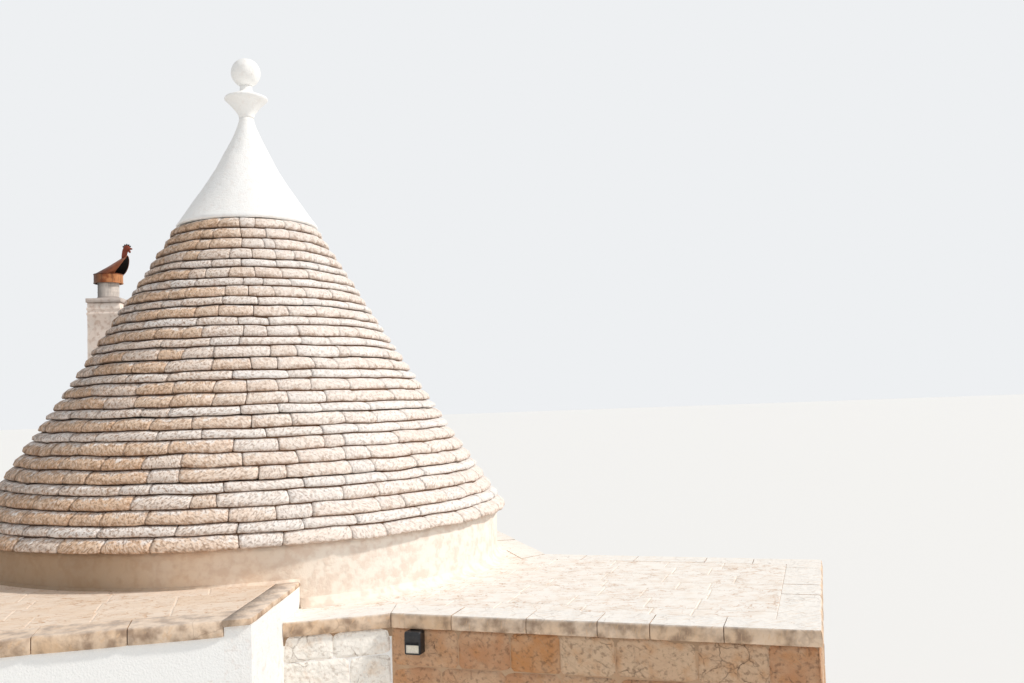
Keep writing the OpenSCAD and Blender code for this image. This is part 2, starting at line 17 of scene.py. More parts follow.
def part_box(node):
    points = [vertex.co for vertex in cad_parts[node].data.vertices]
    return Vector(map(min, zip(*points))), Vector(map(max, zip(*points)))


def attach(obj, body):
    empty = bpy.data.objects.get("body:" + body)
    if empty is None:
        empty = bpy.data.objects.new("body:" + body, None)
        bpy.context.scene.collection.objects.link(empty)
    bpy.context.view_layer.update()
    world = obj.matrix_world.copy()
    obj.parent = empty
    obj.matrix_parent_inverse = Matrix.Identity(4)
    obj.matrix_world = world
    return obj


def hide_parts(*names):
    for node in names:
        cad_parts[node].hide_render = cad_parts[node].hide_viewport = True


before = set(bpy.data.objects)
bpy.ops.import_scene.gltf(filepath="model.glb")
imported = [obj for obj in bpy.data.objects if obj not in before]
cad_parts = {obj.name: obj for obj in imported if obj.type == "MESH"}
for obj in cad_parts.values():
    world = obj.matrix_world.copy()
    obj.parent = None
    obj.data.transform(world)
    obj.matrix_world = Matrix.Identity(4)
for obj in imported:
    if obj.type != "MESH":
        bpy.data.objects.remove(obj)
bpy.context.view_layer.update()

bl_info = {
    "name": "Trullo house",
    "version": (1, 0, 0),
    "blender": (4, 5, 0),
    "location": "3D View > Sidebar > Trullo",
    "description": "Dresses the trullo house with stones, limewash, copper and wood",
    "category": "Object",
}

# Heights and radii that the frame gives
EAVES_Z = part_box("roof_band_1")[0].z
RIM_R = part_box("roof_band_1")[1].x
CONE_TOP_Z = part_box("white_cap")[0].z
TOP_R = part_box("white_cap")[1].x
CAP_TOP_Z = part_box("white_cap")[1].z
DRUM_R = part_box("drum_right")[1].x
WALL_TOP_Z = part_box("right_wall")[1].z
LOW_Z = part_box("terrace_low")[1].z
HIGH_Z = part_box("terrace_high")[1].z
COPING_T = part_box("coping_low")[1].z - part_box("coping_low")[0].z
LEFT_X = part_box("left_wall_front")[0].x
FRONT_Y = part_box("front_wall")[0].y
STACK_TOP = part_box("chimney_cap")[1].z
STACK_CAP_T = STACK_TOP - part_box("chimney_cap")[0].z
BAND_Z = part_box("cowl_ring")[0].z
HOOD_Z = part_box("cowl_hood")[0].z
FLUE = tuple(sum(corner[i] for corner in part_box("flue_pipe")) / 2 for i in (0, 1))
PIPE_R = (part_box("flue_pipe")[1].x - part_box("flue_pipe")[0].x) / 2
LAMP_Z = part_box("lamp_body")[0].z

# Courses of the roof, in metres, as the part lays them
COURSE_H = 0.109
THIN_H = 0.080
THIN_COURSES = (2, 5, 9, 11, 14, 17, 19, 21, 23, 25)
COURSE_N = 29
SAG = 0.035
BAND_N = 6

# How the scene lays stones, in metres, and the side towards which light and shade are painted into colours,
# in degrees from +X to -Y
BED_BACK = 0.052
BED_T = 0.14
LINTEL_H = 0.22
LINTEL_EARS = 0.16
SCRAP = 0.02
JOINT = 0.005
PAINTED_LIGHT_SIDE = 35

# Plan of the house, in metres and degrees, as the part has it
RECESS_Y = -2.89
STEP_X = 0.200
STEP_A = 17
CORNER_X = 0.975
WING_A = 33
WING_W = 2.68
WING_L = 3.0
COPING_OUT = 0.03
COPING_W = 0.30
KERB_W = 0.16
DOOR_W = 0.9
DOOR_TOP = 2.1
STORE_U = 1.15
STORE_W = 0.8
STORE_TOP = 1.76
WIN_W = 0.6
WIN_H = 0.7
SILL_Z = 1.25
SILL_T = 0.07
SILL_FALL = 0.015
SILL_OUT = 0.028
SILL_EARS = 0.08
RIGHT_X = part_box("right_wall")[1].x - SILL_OUT
BACK_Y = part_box("back_wall")[1].y - SILL_OUT
ROOM_R = 1.75
DRUM_T = 0.37
WIN_Y = ROOM_R / 3
RING_H = 0.15
FLOOR_Z = 0.12
LEAF_T = 0.05
LEAF_PLAY = 0.01
LEAF_IN = 0.16
WING_T = 0.45

# Chimney, cowl and lamp, in metres and degrees, as the part has them
STACK_W = 0.39
STACK_A = 10
FLUE_FOOT = 0.3
CAP_OUT = 0.012
MOULDING_H = 0.034
MOULDING_OUT = 0.008
MOULDING_GAP = 0.06
PIPE_TOP = STACK_TOP + 0.24
PIPE_LEDGE = 0.014
COWL_TURN = 15
COWL_R = 0.168
PEAK_X = 0.205
PEAK_H = 0.232
SHEET_T = 0.004
HEAD_H = 0.2
LAMP_U = 0.201
LAMP_W = 0.127
LAMP_H = 0.165
LAMP_D = 0.09
LAMP_RIM = 0.012
LENS_H = 0.06


def linear(code):
    """Turns an sRGB hex colour into the linear values that a shader takes."""
    parts = [int(code[i : i + 2], 16) / 255 for i in (1, 3, 5)]
    return [p / 12.92 if p <= 0.04045 else ((p + 0.055) / 1.055) ** 2.4 for p in parts] + [1.0]


def colour(name, code, description):
    """A colour that the user can change."""
    return FloatVectorProperty(
        name=name, description=description, subtype="COLOR", size=4, min=0, max=1, default=linear(code)
    )


def angle(name, radians, description):
    """An angle that the user can change."""
    return FloatProperty(name=name, description=description, default=radians, unit="ROTATION")


def length(name, metres, description):
    """A size that the user can change."""
    return FloatProperty(name=name, description=description, default=metres, min=0, unit="LENGTH")


class RoofSettings(bpy.types.PropertyGroup):
    """Slabs of the cone"""

    slab_low: length("Slab length low down", 0.44, "Mean length of a slab at the eaves")
    slab_high: length("Slab length high up", 0.20, "Mean length of a slab under the cap")
    joint: length("Joint", 0.0045, "Width of the joints between slabs")
    bulge: length("Bulge", 0.024, "How far a slab's face swells")
    rough: length("Roughness", 0.009, "Height of the lumps on a slab")
    seed: IntProperty(name="Seed", description="Picks the layout of the slabs", default=11)
    # Chalk also stands for painted light on the lit side and along upper edges. Brown, grey and bed stand for
    # painted shade away from it and under the slabs
    tan: colour("Tan", "#f6c9a0", "Bare limestone on the sunny side")
    cream: colour("Cream", "#ffecd6", "Bleached limestone")
    chalk: colour("Chalk", "#fffaf5", "Thin courses and bleached edges")
    brown: colour("Brown", "#d3aa86", "Bare limestone away from the sun")
    grey: colour("Grey", "#a88f7c", "Weathered face on the shaded side")
    lichen: colour("Lichen", "#4f4037", "Dark lichen and soot")
    pit: colour("Pit", "#a67c59", "Pits and tool marks")
    bed: colour("Bed", "#4a3529", "Earth between the slabs")


class WallSettings(bpy.types.PropertyGroup):
    """Squared blocks, plaster and limewash"""

    block: length("Block length", 0.40, "Mean length of a wall block")
    course: length("Course height", 0.215, "Mean height of a wall course")
    proud: length("Relief", 0.009, "How far a block stands out of its mortar")
    seed: IntProperty(name="Seed", description="Picks the layout of the blocks", default=5)
    tan: colour("Tan", "#bd8a64", "Bare block")
    orange: colour("Orange", "#c08550", "Iron-stained block")
    pale: colour("Pale", "#d6b899", "Pale block")
    mortar: colour("Mortar", "#a98c70", "Dark strokes on the blocks")
    crack: colour("Crack", "#6b4f3a", "Cracks and open joints")
    plaster: colour("Plaster", "#f4d9bb", "Lime plaster of the drum")
    plaster_pale: colour("Pale plaster", "#fbf3e8", "Bleached plaster")
    limewash: colour("Limewash", "#fbfaf7", "Coats of limewash")


class PavingSettings(bpy.types.PropertyGroup):
    """Terraces and their edge stones"""

    slab: length("Slab length", 0.50, "Mean length of a paving slab")
    row: length("Row width", 0.33, "Width of a row of paving")
    edge: length("Edge stone length", 0.52, "Mean length of an edge stone")
    seed: IntProperty(name="Seed", description="Picks the layout of the paving", default=3)
    tan: colour("Tan", "#dcb892", "Bare paving")
    cream: colour("Cream", "#f8ebdc", "Pale paving")
    wash: colour("Wash", "#fdf9f2", "Limewash on the paving")
    grey: colour("Grey", "#8f745f", "Weathered front of an edge stone")


class MetalSettings(bpy.types.PropertyGroup):
    """Pipe, cowl, rooster and lamp"""

    copper: colour("Copper", "#8f4f2c", "Brown copper sheet")
    copper_hood: colour("Hood copper", "#6b3a25", "Dark brown copper sheet of the hood")
    # Bright and dark copper also paint light on the right of the flue and shade on its left
    copper_bright: colour("Bright copper", "#e3a06a", "Copper worn bright")
    copper_dark: colour("Dark copper", "#3a2118", "Sooty copper")
    rooster: colour("Rooster", "#6e3424", "Rooster's brown-red")
    comb: colour("Comb", "#1d1210", "Blackened comb and beak")
    steel: colour("Steel", "#d8cdc3", "Weathered zinc sheet")
    black: colour("Black enamel", "#15161a", "Lamp body")


class StageSettings(bpy.types.PropertyGroup):
    """Camera, lights and floor"""

    eye_y: FloatProperty(name="Eye Y", description="Camera's place along Y", default=-10.055, unit="LENGTH")
    eye_z: FloatProperty(name="Eye Z", description="Camera's height", default=4.155, unit="LENGTH")
    yaw: angle("Yaw", 0.2673145, "Turn from +Y to +X")
    pitch: angle("Pitch", 0.0604788, "Tilt upwards")
    roll: angle("Roll", -0.0315067, "Turn round the view")
    lens: FloatProperty(name="Lens", description="Focal length in mm on a 36 mm sensor", default=33.73)
    sun_side: angle("Key side", 0.297, "Turn from +X to -Y")
    sun_height: angle("Key height", 0.733, "Height of the key light above the horizon")
    key: FloatProperty(name="Key light", description="Strength of the key light", default=2.45)
    front: FloatProperty(name="Front light", description="Strength of the front light", default=0.38)
    fill: FloatProperty(name="Fill light", description="Strength of the world light", default=0.5)
    floor: colour("Floor", "#f1f0ed", "Pale floor")


GROUPS = {
    "trullo_roof": RoofSettings,
    "trullo_wall": WallSettings,
    "trullo_paving": PavingSettings,
    "trullo_metal": MetalSettings,
    "trullo_stage": StageSettings,
}


# Node helpers

MATH = "ShaderNodeMath"
VECTORS = "ShaderNodeVectorMath"


def add(tree, kind, inputs=(), out=0, **settings):
    """Adds a node with its settings. Its inputs are values or sockets to link. Returns one output."""
    made = tree.nodes.new(kind)
    for name, value in settings.items():
        setattr(made, name, value)
    for key, value in inputs.items() if isinstance(inputs, dict) else enumerate(inputs):
        if isinstance(value, bpy.types.NodeSocket):
            tree.links.new(value, made.inputs[key])
        else:
            made.inputs[key].default_value = value
    return made.outputs[out] if len(made.outputs) else made


def mottle(tree, place, size, seed=0.0, detail=4.0):
    """A cloudy level between 0 and 1, with clouds of one size in metres."""
    inputs = {"Vector": place, "W": seed, "Scale": 1 / size, "Detail": detail}
    return add(tree, "ShaderNodeTexNoise", inputs, noise_dimensions="4D")


def between(tree, value, low, high):
    """A mask that rises softly from 0 at low to 1 at high."""
    inputs = {"Value": value, "From Min": low, "From Max": high}
    return add(tree, "ShaderNodeMapRange", inputs, interpolation_type="SMOOTHSTEP")


def patches(tree, place, size, cover=0.5, edge=0.12, seed=0.0, detail=4.0):
    """A mask of patches of one size in metres. Cover is their share and edge the softness of their rim."""
    middle = 0.5 + 0.28 * (0.5 - cover)
    return between(tree, mottle(tree, place, size, seed, detail), middle - edge / 2, middle + edge / 2)


def streaked(tree, place, turn, stretch, seed=0.0):
    """A level stretched into strokes. Turn is in degrees about X, Y and Z, stretch in metres along them."""
    inputs = {"Vector": place, "Rotation": [math.radians(t) for t in turn], "Scale": stretch}
    return mottle(tree, add(tree, "ShaderNodeMapping", inputs, vector_type="TEXTURE"), 1.0, seed, 3.0)


def crackle(tree, place, size, wide):
    """A mask of ragged cracks round cells of one size in metres, broken off in places."""
    swing = add(tree, "ShaderNodeTexNoise", {"Vector": place, "Scale": 1 / size, "Detail": 4.0}, out="Color")
    push = add(tree, VECTORS, (swing, (size, size, size)), operation="MULTIPLY")
    bent = add(tree, VECTORS, (place, push), operation="ADD")
    edge = add(tree, "ShaderNodeTexVoronoi", {"Vector": bent, "Scale": 1 / size}, feature="DISTANCE_TO_EDGE")
    left = patches(tree, place, 1.3 * size, 0.40, 0.2, 3.0)
    return add(tree, MATH, (between(tree, edge, wide / size, 0.0), left), operation="MULTIPLY")


def hairlines(tree, place, turn, stretch, seed):
    """A mask of thin wandering lines, broken off in places."""
    off = add(tree, MATH, (streaked(tree, place, turn, stretch, seed), 0.5), operation="SUBTRACT")
    off = add(tree, MATH, (off,), operation="ABSOLUTE")
    left = patches(tree, place, 0.16, 0.5, 0.25, seed + 1)
    return add(tree, MATH, (between(tree, off, 0.024, 0.0), left), operation="MULTIPLY")


def sunny_side(tree, place):
    """How far a place lies towards the side where light is painted, -1 to 1. Shade is painted on the other
    side.
    """
    flat = add(tree, VECTORS, (place, (1, 1, 0)), operation="MULTIPLY")
    way = add(tree, VECTORS, (flat,), operation="NORMALIZE")
    side = math.radians(PAINTED_LIGHT_SIDE)
    sun = (math.cos(side), -math.sin(side), 0)
    return add(tree, VECTORS, (way, sun), out="Value", operation="DOT_PRODUCT")


def facing_up(tree):
    """How far a face looks up, -1 to 1."""
    normal = add(tree, "ShaderNodeNewGeometry", out="Normal")
    return add(tree, "ShaderNodeSeparateXYZ", (normal,), out="Z")


def beside_flue(tree, place, reach):
    """A mask that rises from the flue's axis over a reach along X, for light and shade painted beside the
    flue. A negative reach goes to the left.
    """
    x = add(tree, "ShaderNodeSeparateXYZ", (place,), out="X")
    return between(tree, x, FLUE[0], FLUE[0] + reach)


def coats(tree, base, *layers):
    """Lays colours over a base. A layer is a colour and the masks and numbers that multiply to its cover."""
    for shade, cover, *factors in layers:
        for factor in factors:
            cover = add(tree, MATH, (cover, factor), operation="MULTIPLY")
        inputs = {0: cover, 6: base, 7: shade}
        base = add(tree, "ShaderNodeMix", inputs, out=2, data_type="RGBA", clamp_factor=True)
    return base


def relief(tree, *layers):
    """Bumps laid over each other, each a height and its depth in metres."""
    inputs = {}
    for height, depth in layers:
        inputs.update({"Height": height, "Distance": depth, "Strength": 1.0})
        inputs["Normal"] = add(tree, "ShaderNodeBump", inputs)
    return inputs["Normal"]


def new_material(name):
    """An empty material, its tree, and the place on the object that its patterns follow."""
    made = bpy.data.materials.new(name)
    made.use_nodes = True
    tree = made.node_tree
    tree.nodes.clear()
    return made, tree, add(tree, "ShaderNodeTexCoord", out="Object")


def finished(made, shade, roughness, normal=None, **sockets):
    """Gives a material its shader. Sockets are named by their labels, with underscores for spaces."""
    tree = made.node_tree
    inputs = {"Base Color": shade, "Roughness": roughness}
    if normal:
        inputs["Normal"] = normal
    for name, value in sockets.items():
        inputs[name.replace("_", " ")] = value
    add(tree, "ShaderNodeOutputMaterial", {"Surface": add(tree, "ShaderNodeBsdfPrincipled", inputs)})
    return made


# Materials


def slab_limestone(roof):
    """Split limestone slabs: hewn with a point and lichened, with painted light on one side of the house and
    painted shade on the other.
    """
    made, tree, place = new_material("Split limestone slabs")
    laid = add(tree, "ShaderNodeAttribute", out="Vector", attribute_name="laid")
    spot = add(tree, "ShaderNodeAttribute", out="Vector", attribute_name="face")
    tone = add(tree, "ShaderNodeAttribute", out="Fac", attribute_name="tone")
    pale = add(tree, "ShaderNodeAttribute", out="Fac", attribute_name="pale")
    face = add(tree, "ShaderNodeSeparateXYZ", (spot,), out="Z")
    size = add(tree, VECTORS, (spot,), operation="ABSOLUTE")
    ends = add(tree, "ShaderNodeSeparateXYZ", (size,), out="X")

    # A painted highlight along the upper edge, with a ragged line, and a darker lower part
    level = mottle(tree, place, 0.06, 8.0)
    ragged = add(tree, MATH, (level, 3.0, -1.5), operation="MULTIPLY_ADD")
    height = add(tree, MATH, (face, ragged), operation="ADD")
    crest = between(tree, height, 0.40, 1.0)
    foot = between(tree, height, -0.45, -1.1)

    # Marks of the point lean one way or the other. Real ones are finer, and wouldn't show
    steep = streaked(tree, laid, (0, 48, 0), (0.028, 0.03, 0.011), 4.0)
    flat = streaked(tree, laid, (0, -38, 0), (0.028, 0.03, 0.011), 6.0)
    hand = between(tree, tone, 0.62, 0.66)
    strokes = add(tree, "ShaderNodeMix", {0: hand, 2: steep, 3: flat})
    cuts = between(tree, strokes, 0.53, 0.63)
    ridges = between(tree, strokes, 0.47, 0.38)
    uncut = add(tree, MATH, (1.0, cuts), operation="SUBTRACT")

    # Painted light and shade by side: paler towards the light, browner, greyer and more marked away from it
    sun = sunny_side(tree, place)
    shady = between(tree, sun, 0.25, -0.9)
    bright = between(tree, sun, 0.0, 0.9)
    dim = add(tree, MATH, (1.0, bright), operation="SUBTRACT")
    # Painted light: marks, pits and joints fade on the lit side and show strongly in the shade
    marks = add(tree, MATH, (dim, 0.6, 0.3), operation="MULTIPLY_ADD")
    broad = patches(tree, place, 0.16, 0.5, 0.4, 1.0)
    blots = patches(tree, place, 0.026, 0.26, 0.14, 2.0, 6.0)
    lichen = patches(tree, place, 0.05, 0.42, 0.16, 5.0)
    bloom = patches(tree, place, 0.06, 0.24, 0.12, 12.0)
    # A painted shadow along each slab's lower edge, broken off in patches
    shadow_patches = patches(tree, place, 0.09, 0.55, 0.4, 21.0)
    rim = add(tree, MATH, (between(tree, face, -0.78, -0.97), shadow_patches), operation="MULTIPLY")
    gaps = between(tree, ends, 0.96, 1.0)
    shade = coats(
        tree,
        roof.tan,
        (roof.cream, tone, 0.4),
        (roof.cream, broad, 0.4),
        # Painted light: chalk on the lit side. Painted shade: brown away from it
        (roof.chalk, bright, 0.7),
        (roof.brown, dim, 0.3),
        (roof.pit, foot, 0.5),
        (roof.chalk, ridges, 0.4),
        (roof.chalk, pale, 0.85),
        # Painted shade: grey on the shaded side. The lichen there is the stone's own
        (roof.grey, shady, 0.45),
        (roof.lichen, shady, lichen, 0.7),
        # Pale patches on the shaded side, as painted highlights
        (linear("#ece4dd"), shady, bloom, 0.45),
        # Painted highlight along each slab's upper edge
        (roof.chalk, crest, 0.75),
        (roof.pit, blots, marks, 0.75),
        (roof.pit, cuts, marks, 0.55),
        # Painted shadow under each slab, deeper on the shaded side
        (roof.bed, rim, marks, 0.5),
        (roof.bed, shady, rim, 0.6),
        (roof.bed, gaps, marks, 0.3),
    )
    grain = mottle(tree, place, 0.03, 6.0)
    return finished(made, shade, 0.92, relief(tree, (grain, 0.012), (uncut, 0.006)))


def bedding_earth(roof):
    """Earth and lime between the slabs: crumbly and dark, with painted light that makes it paler on the lit
    side.
    """
    made, tree, place = new_material("Bedding earth")
    crumbs = patches(tree, place, 0.02, 0.5, 0.4)
    # Painted light: paler on the lit side
    bright = between(tree, sunny_side(tree, place), 0.0, 0.9)
    shade = coats(tree, roof.bed, (roof.pit, bright, 0.6), (roof.grey, crumbs, 0.3))
    return finished(made, shade, 0.95, relief(tree, (crumbs, 0.006)))


def lime_plaster(wall):
    """Trowelled lime plaster: sandy and peach, with painted light that pales it on the lit side and a painted
    shadow of the eaves on the other side.
    """
    made, tree, place = new_material("Trowelled lime plaster")
    sun = sunny_side(tree, place)
    broad = patches(tree, place, 0.5, 0.5, 0.4, 1.0)
    small = patches(tree, place, 0.07, 0.4, 0.25, 2.0)
    grain = patches(tree, place, 0.006, 0.5, 0.5, 3.0, 2.0)
    shade = coats(
        tree,
        wall.plaster,
        # Painted light: paler towards the lit side
        (wall.plaster_pale, between(tree, sun, 0.35, 0.95)),
        (wall.plaster_pale, broad, 0.4),
        (wall.tan, small, 0.25),
        # Painted shadow of the eaves, away from the light
        (linear("#94795b"), between(tree, sun, 0.55, 0.05), 0.75),
    )
    return finished(made, shade, 0.9, relief(tree, (broad, 0.01), (small, 0.003), (grain, 0.0012)))


def limewash(wall, name="Limewash", warm=0.12):
    """Many coats of brushed limewash: chalk white with soft brush marks and faint warm patches."""
    made, tree, place = new_material(name)
    broad = patches(tree, place, 0.22, 0.45, 0.3, 1.0)
    flaked = patches(tree, place, 0.05, 0.2, 0.12, 2.0)
    brush = streaked(tree, place, (0, 8, 0), (0.18, 0.18, 0.012), 3.0)
    grain = patches(tree, place, 0.012, 0.5, 0.5, 4.0, 2.0)
    shade = coats(tree, wall.limewash, (wall.plaster, broad, warm), (wall.tan, flaked, warm * 1.4))
    return finished(made, shade, 0.85, relief(tree, (brush, 0.0015), (grain, 0.0015), (broad, 0.004)))


def block_limestone(wall, washed=False):
    """Squared limestone blocks: coarse, pitted, iron-stained, and under flaking limewash where washed."""
    made, tree, place = new_material("Limewashed blocks" if washed else "Squared limestone blocks")
    tone = add(tree, "ShaderNodeAttribute", out="Fac", attribute_name="tone")
    laid = add(tree, "ShaderNodeAttribute", out="Vector", attribute_name="laid")
    broad = patches(tree, place, 0.13, 0.5, 0.35, 1.0)
    stain = patches(tree, place, 0.11, 0.22, 0.2, 2.0, 6.0)
    strokes = between(tree, streaked(tree, laid, (0, 35, 0), (0.12, 0.04, 0.016), 4.0), 0.54, 0.66)
    cracks = crackle(tree, place, 0.13, 0.005)
    pits = patches(tree, place, 0.03, 0.16, 0.16, 9.0)
    grain = mottle(tree, place, 0.025, 5.0)
    shade = coats(
        tree,
        wall.tan,
        (wall.pale, between(tree, tone, 0.35, 0.9)),
        (wall.orange, between(tree, tone, 0.16, 0.06), 0.75),
        (wall.pale, broad, 0.45),
        (wall.orange, stain, 0.45),
        (wall.mortar, strokes, 0.35),
    )
    if washed:
        coat = patches(tree, place, 0.15, 0.80, 0.14, 7.0, 6.0)
        shade = coats(tree, shade, (linear("#fff2e2"), 0.75), (linear("#fffaf1"), coat, 0.9))
    dark = wall.mortar if washed else wall.crack
    shade = coats(tree, shade, (dark, pits, 0.3 if washed else 0.5), (dark, cracks, 0.5 if washed else 0.4))
    whole = add(tree, MATH, (1.0, cracks), operation="SUBTRACT")
    return finished(made, shade, 0.92, relief(tree, (broad, 0.014), (grain, 0.010), (whole, 0.006)))


def lime_mortar(wall):
    """Lime mortar: sandy and a little darker than the stone in the joints, whitewashed inside the room."""
    made, tree, place = new_material("Lime mortar")
    grain = mottle(tree, place, 0.012, 1.0)
    blot = patches(tree, place, 0.08, 0.5, 0.3, 2.0)
    flat = add(tree, VECTORS, (place, (1, 1, 0)), operation="MULTIPLY")
    reach = add(tree, VECTORS, (flat,), out="Value", operation="LENGTH")
    indoors = between(tree, reach, ROOM_R + 0.04, ROOM_R + 0.02)
    shade = coats(tree, linear("#bf9f80"), (wall.tan, blot, 0.4), (wall.limewash, indoors))
    return finished(made, shade, 0.95, relief(tree, (grain, 0.004)))


def terrace_bed(wall, upright):
    """Mortar between the paving, and another coat on the bed's upright sides."""
    made, tree, place = new_material("Terrace bed")
    grain = mottle(tree, place, 0.012, 1.0)
    blot = patches(tree, place, 0.08, 0.5, 0.3, 2.0)
    steep = between(tree, facing_up(tree), 0.6, 0.4)
    shade = coats(tree, linear("#f5e9da"), (wall.tan, blot, 0.2), (upright, steep))
    return finished(made, shade, 0.95, relief(tree, (grain, 0.004)))


def vault_limestone(wall):
    """Dressed voussoirs of the vault: rings of stones with thin dark joints, under old whitewash."""
    made, tree, place = new_material("Vault limestone")
    parts = add(tree, "ShaderNodeSeparateXYZ", (place,)).node.outputs
    turn = add(tree, MATH, (parts["Y"], parts["X"]), operation="ARCTAN2")
    unrolled = add(tree, "ShaderNodeCombineXYZ", (turn, parts["Z"]))
    joints = {"Mortar": wall.mortar, "Mortar Size": 0.004, "Mortar Smooth": 0.4, "Scale": 1.0}
    stones = {"Color1": wall.pale, "Color2": wall.limewash, "Brick Width": 0.26, "Row Height": RING_H}
    bond = add(tree, "ShaderNodeTexBrick", {"Vector": unrolled, **joints, **stones})
    worn = patches(tree, place, 0.1, 0.4, 0.3, 1.0)
    grain = mottle(tree, place, 0.02, 2.0)
    return finished(made, coats(tree, bond, (wall.tan, worn, 0.35)), 0.9, relief(tree, (grain, 0.006)))


def paving_limestone(paving, raised=False, name="Limestone paving"):
    """Limestone paving: bleached almost white, scratched and pitted, and tanner on the raised part."""
    made, tree, place = new_material(name)
    tone = add(tree, "ShaderNodeAttribute", out="Fac", attribute_name="tone")
    broad = patches(tree, place, 0.3, 0.5, 0.4, 1.0)
    worn = patches(tree, place, 0.12, 0.30, 0.3, 2.0, 6.0)
    scratches = hairlines(tree, place, (0, 0, -12), (0.20, 0.09, 1.0), 4.0)
    marks = hairlines(tree, place, (0, 0, 30), (0.10, 0.07, 1.0), 7.0)
    if raised:
        layers = ((paving.tan, 0.45), (paving.wash, tone, 0.15), (paving.wash, broad, 0.15))
    else:
        layers = ((paving.wash, 0.7), (paving.wash, broad, 0.4))
    bare = 0.9 if raised else 0.75
    shade = coats(
        tree,
        paving.cream,
        *layers,
        (paving.tan, worn, bare * 0.3),
        (linear("#cfa682"), scratches, bare),
        (linear("#cfa682"), marks, bare * 0.8),
    )
    uncut = add(tree, MATH, (1.0, scratches), operation="SUBTRACT")
    return finished(made, shade, 0.9, relief(tree, (worn, 0.003), (uncut, 0.003)))


def edge_limestone(paving, washed=True):
    """Edge stones: tan and grey with drip marks on their fronts, and white on top where washed."""
    made, tree, place = new_material("Limestone edge stones" if washed else "Bare edge stones")
    tone = add(tree, "ShaderNodeAttribute", out="Fac", attribute_name="tone")
    broad = patches(tree, place, 0.18, 0.5, 0.25, 1.0)
    drips = patches(tree, place, 0.10, 0.40, 0.3, 2.0, 6.0)
    marks = between(tree, streaked(tree, place, (0, 0, 14), (0.12, 0.008, 0.05), 5.0), 0.56, 0.66)
    shade = coats(
        tree,
        paving.tan,
        (paving.cream, tone, 0.3),
        (paving.cream, broad, 0.25),
        (paving.grey, drips, 0.85),
        (paving.wash, between(tree, facing_up(tree), 0.3, 0.8), 0.92 if washed else 0.25),
        (paving.tan, marks, 0.5),
        (paving.grey, crackle(tree, place, 0.2, 0.008), 0.3),
    )
    grain = mottle(tree, place, 0.03, 4.0)
    return finished(made, shade, 0.9, relief(tree, (broad, 0.006), (grain, 0.006)))


def sheet_copper(name, main, bright, dark):
    """Copper sheet under old patina: brown, worn bright in patches and sooty in runs, with painted light to
    the right of the flue and painted shade to the left.
    """
    made, tree, place = new_material(name)
    rubbed = patches(tree, place, 0.07, 0.40, 0.25, 1.0)
    soot = between(tree, streaked(tree, place, (0, 0, 0), (0.03, 0.03, 0.15), 2.0), 0.50, 0.68)
    beaten = mottle(tree, place, 0.03, 3.0, 1.0)
    shade = coats(
        tree,
        main,
        (bright, rubbed, 0.5),
        # Painted light on the right of the flue
        (bright, beside_flue(tree, place, 0.14), 0.65),
        (dark, soot, 0.5),
        # Painted shade on the left of the flue
        (dark, beside_flue(tree, place, -0.13), 0.8),
    )
    rough = add(tree, "ShaderNodeMapRange", {"Value": rubbed, "To Min": 0.55, "To Max": 0.38})
    return finished(made, shade, rough, relief(tree, (beaten, 0.003)), Metallic=0.55)


def plain_finish(name, shade, clouded, roughness, bump, size):
    """A finish for small pieces: one colour clouded by a second one, with fine relief."""
    made, tree, place = new_material(name)
    clouds = patches(tree, place, size, 0.45, 0.3)
    shade = coats(tree, shade, (clouded, clouds, 0.6))
    return finished(made, shade, roughness, relief(tree, (clouds, bump)))


def stack_plaster(wall):
    """Old plaster of the stack: pinkish grey, with rain stains that run down from the top slab."""
    made, tree, place = new_material("Stack plaster")
    broad = patches(tree, place, 0.25, 0.5, 0.35, 1.0)
    runs = between(tree, streaked(tree, place, (0, 0, 0), (0.05, 0.05, 0.5), 2.0), 0.50, 0.68)
    spots = patches(tree, place, 0.05, 0.25, 0.15, 3.0, 6.0)
    grain = mottle(tree, place, 0.012, 4.0)
    z = add(tree, "ShaderNodeSeparateXYZ", (place,), out="Z")
    slab_z = STACK_TOP - STACK_CAP_T
    shade = coats(
        tree,
        linear("#ffeee0"),
        (wall.plaster_pale, broad, 0.5),
        (linear("#c9b09e"), runs, 0.25),
        (linear("#cbaa92"), spots, 0.5),
        (linear("#b0a49d"), between(tree, z, slab_z - 0.002, slab_z + 0.003), 0.6),
        (linear("#9c9089"), between(tree, facing_up(tree), 0.5, 0.9)),
    )
    return finished(made, shade, 0.92, relief(tree, (broad, 0.006), (grain, 0.003)))


def weathered_zinc(metal):
    """Zinc sheet gone dull: soft grey with darker runs and pale bloom, and painted shade on the left of the
    pipe.
    """
    made, tree, place = new_material("Weathered zinc")
    bloom = patches(tree, place, 0.04, 0.45, 0.3, 1.0)
    runs = between(tree, streaked(tree, place, (0, 0, 0), (0.02, 0.02, 0.12), 2.0), 0.50, 0.66)
    shade = coats(
        tree,
        metal.steel,
        (linear("#efe3d8"), bloom, 0.5),
        (linear("#8b8078"), runs, 0.3),
        # Painted shade on the left of the pipe
        (linear("#55504e"), beside_flue(tree, place, -0.13), 0.85),
    )
    rough = add(tree, "ShaderNodeMapRange", {"Value": bloom, "To Min": 0.42, "To Max": 0.62})
    return finished(made, shade, rough, relief(tree, (bloom, 0.001)), Metallic=0.2)


def window_glass():
    """Old window glass, faintly green and waved, and dark where the room lies behind it."""
    made, tree, place = new_material("Window glass")
    waves = mottle(tree, place, 0.12, 1.0, 1.0)
    shade = coats(tree, linear("#dfe8e2"), (linear("#c9d8d0"), waves, 0.3))
    return finished(made, shade, 0.05, relief(tree, (waves, 0.002)), Transmission_Weight=0.9, IOR=1.45)


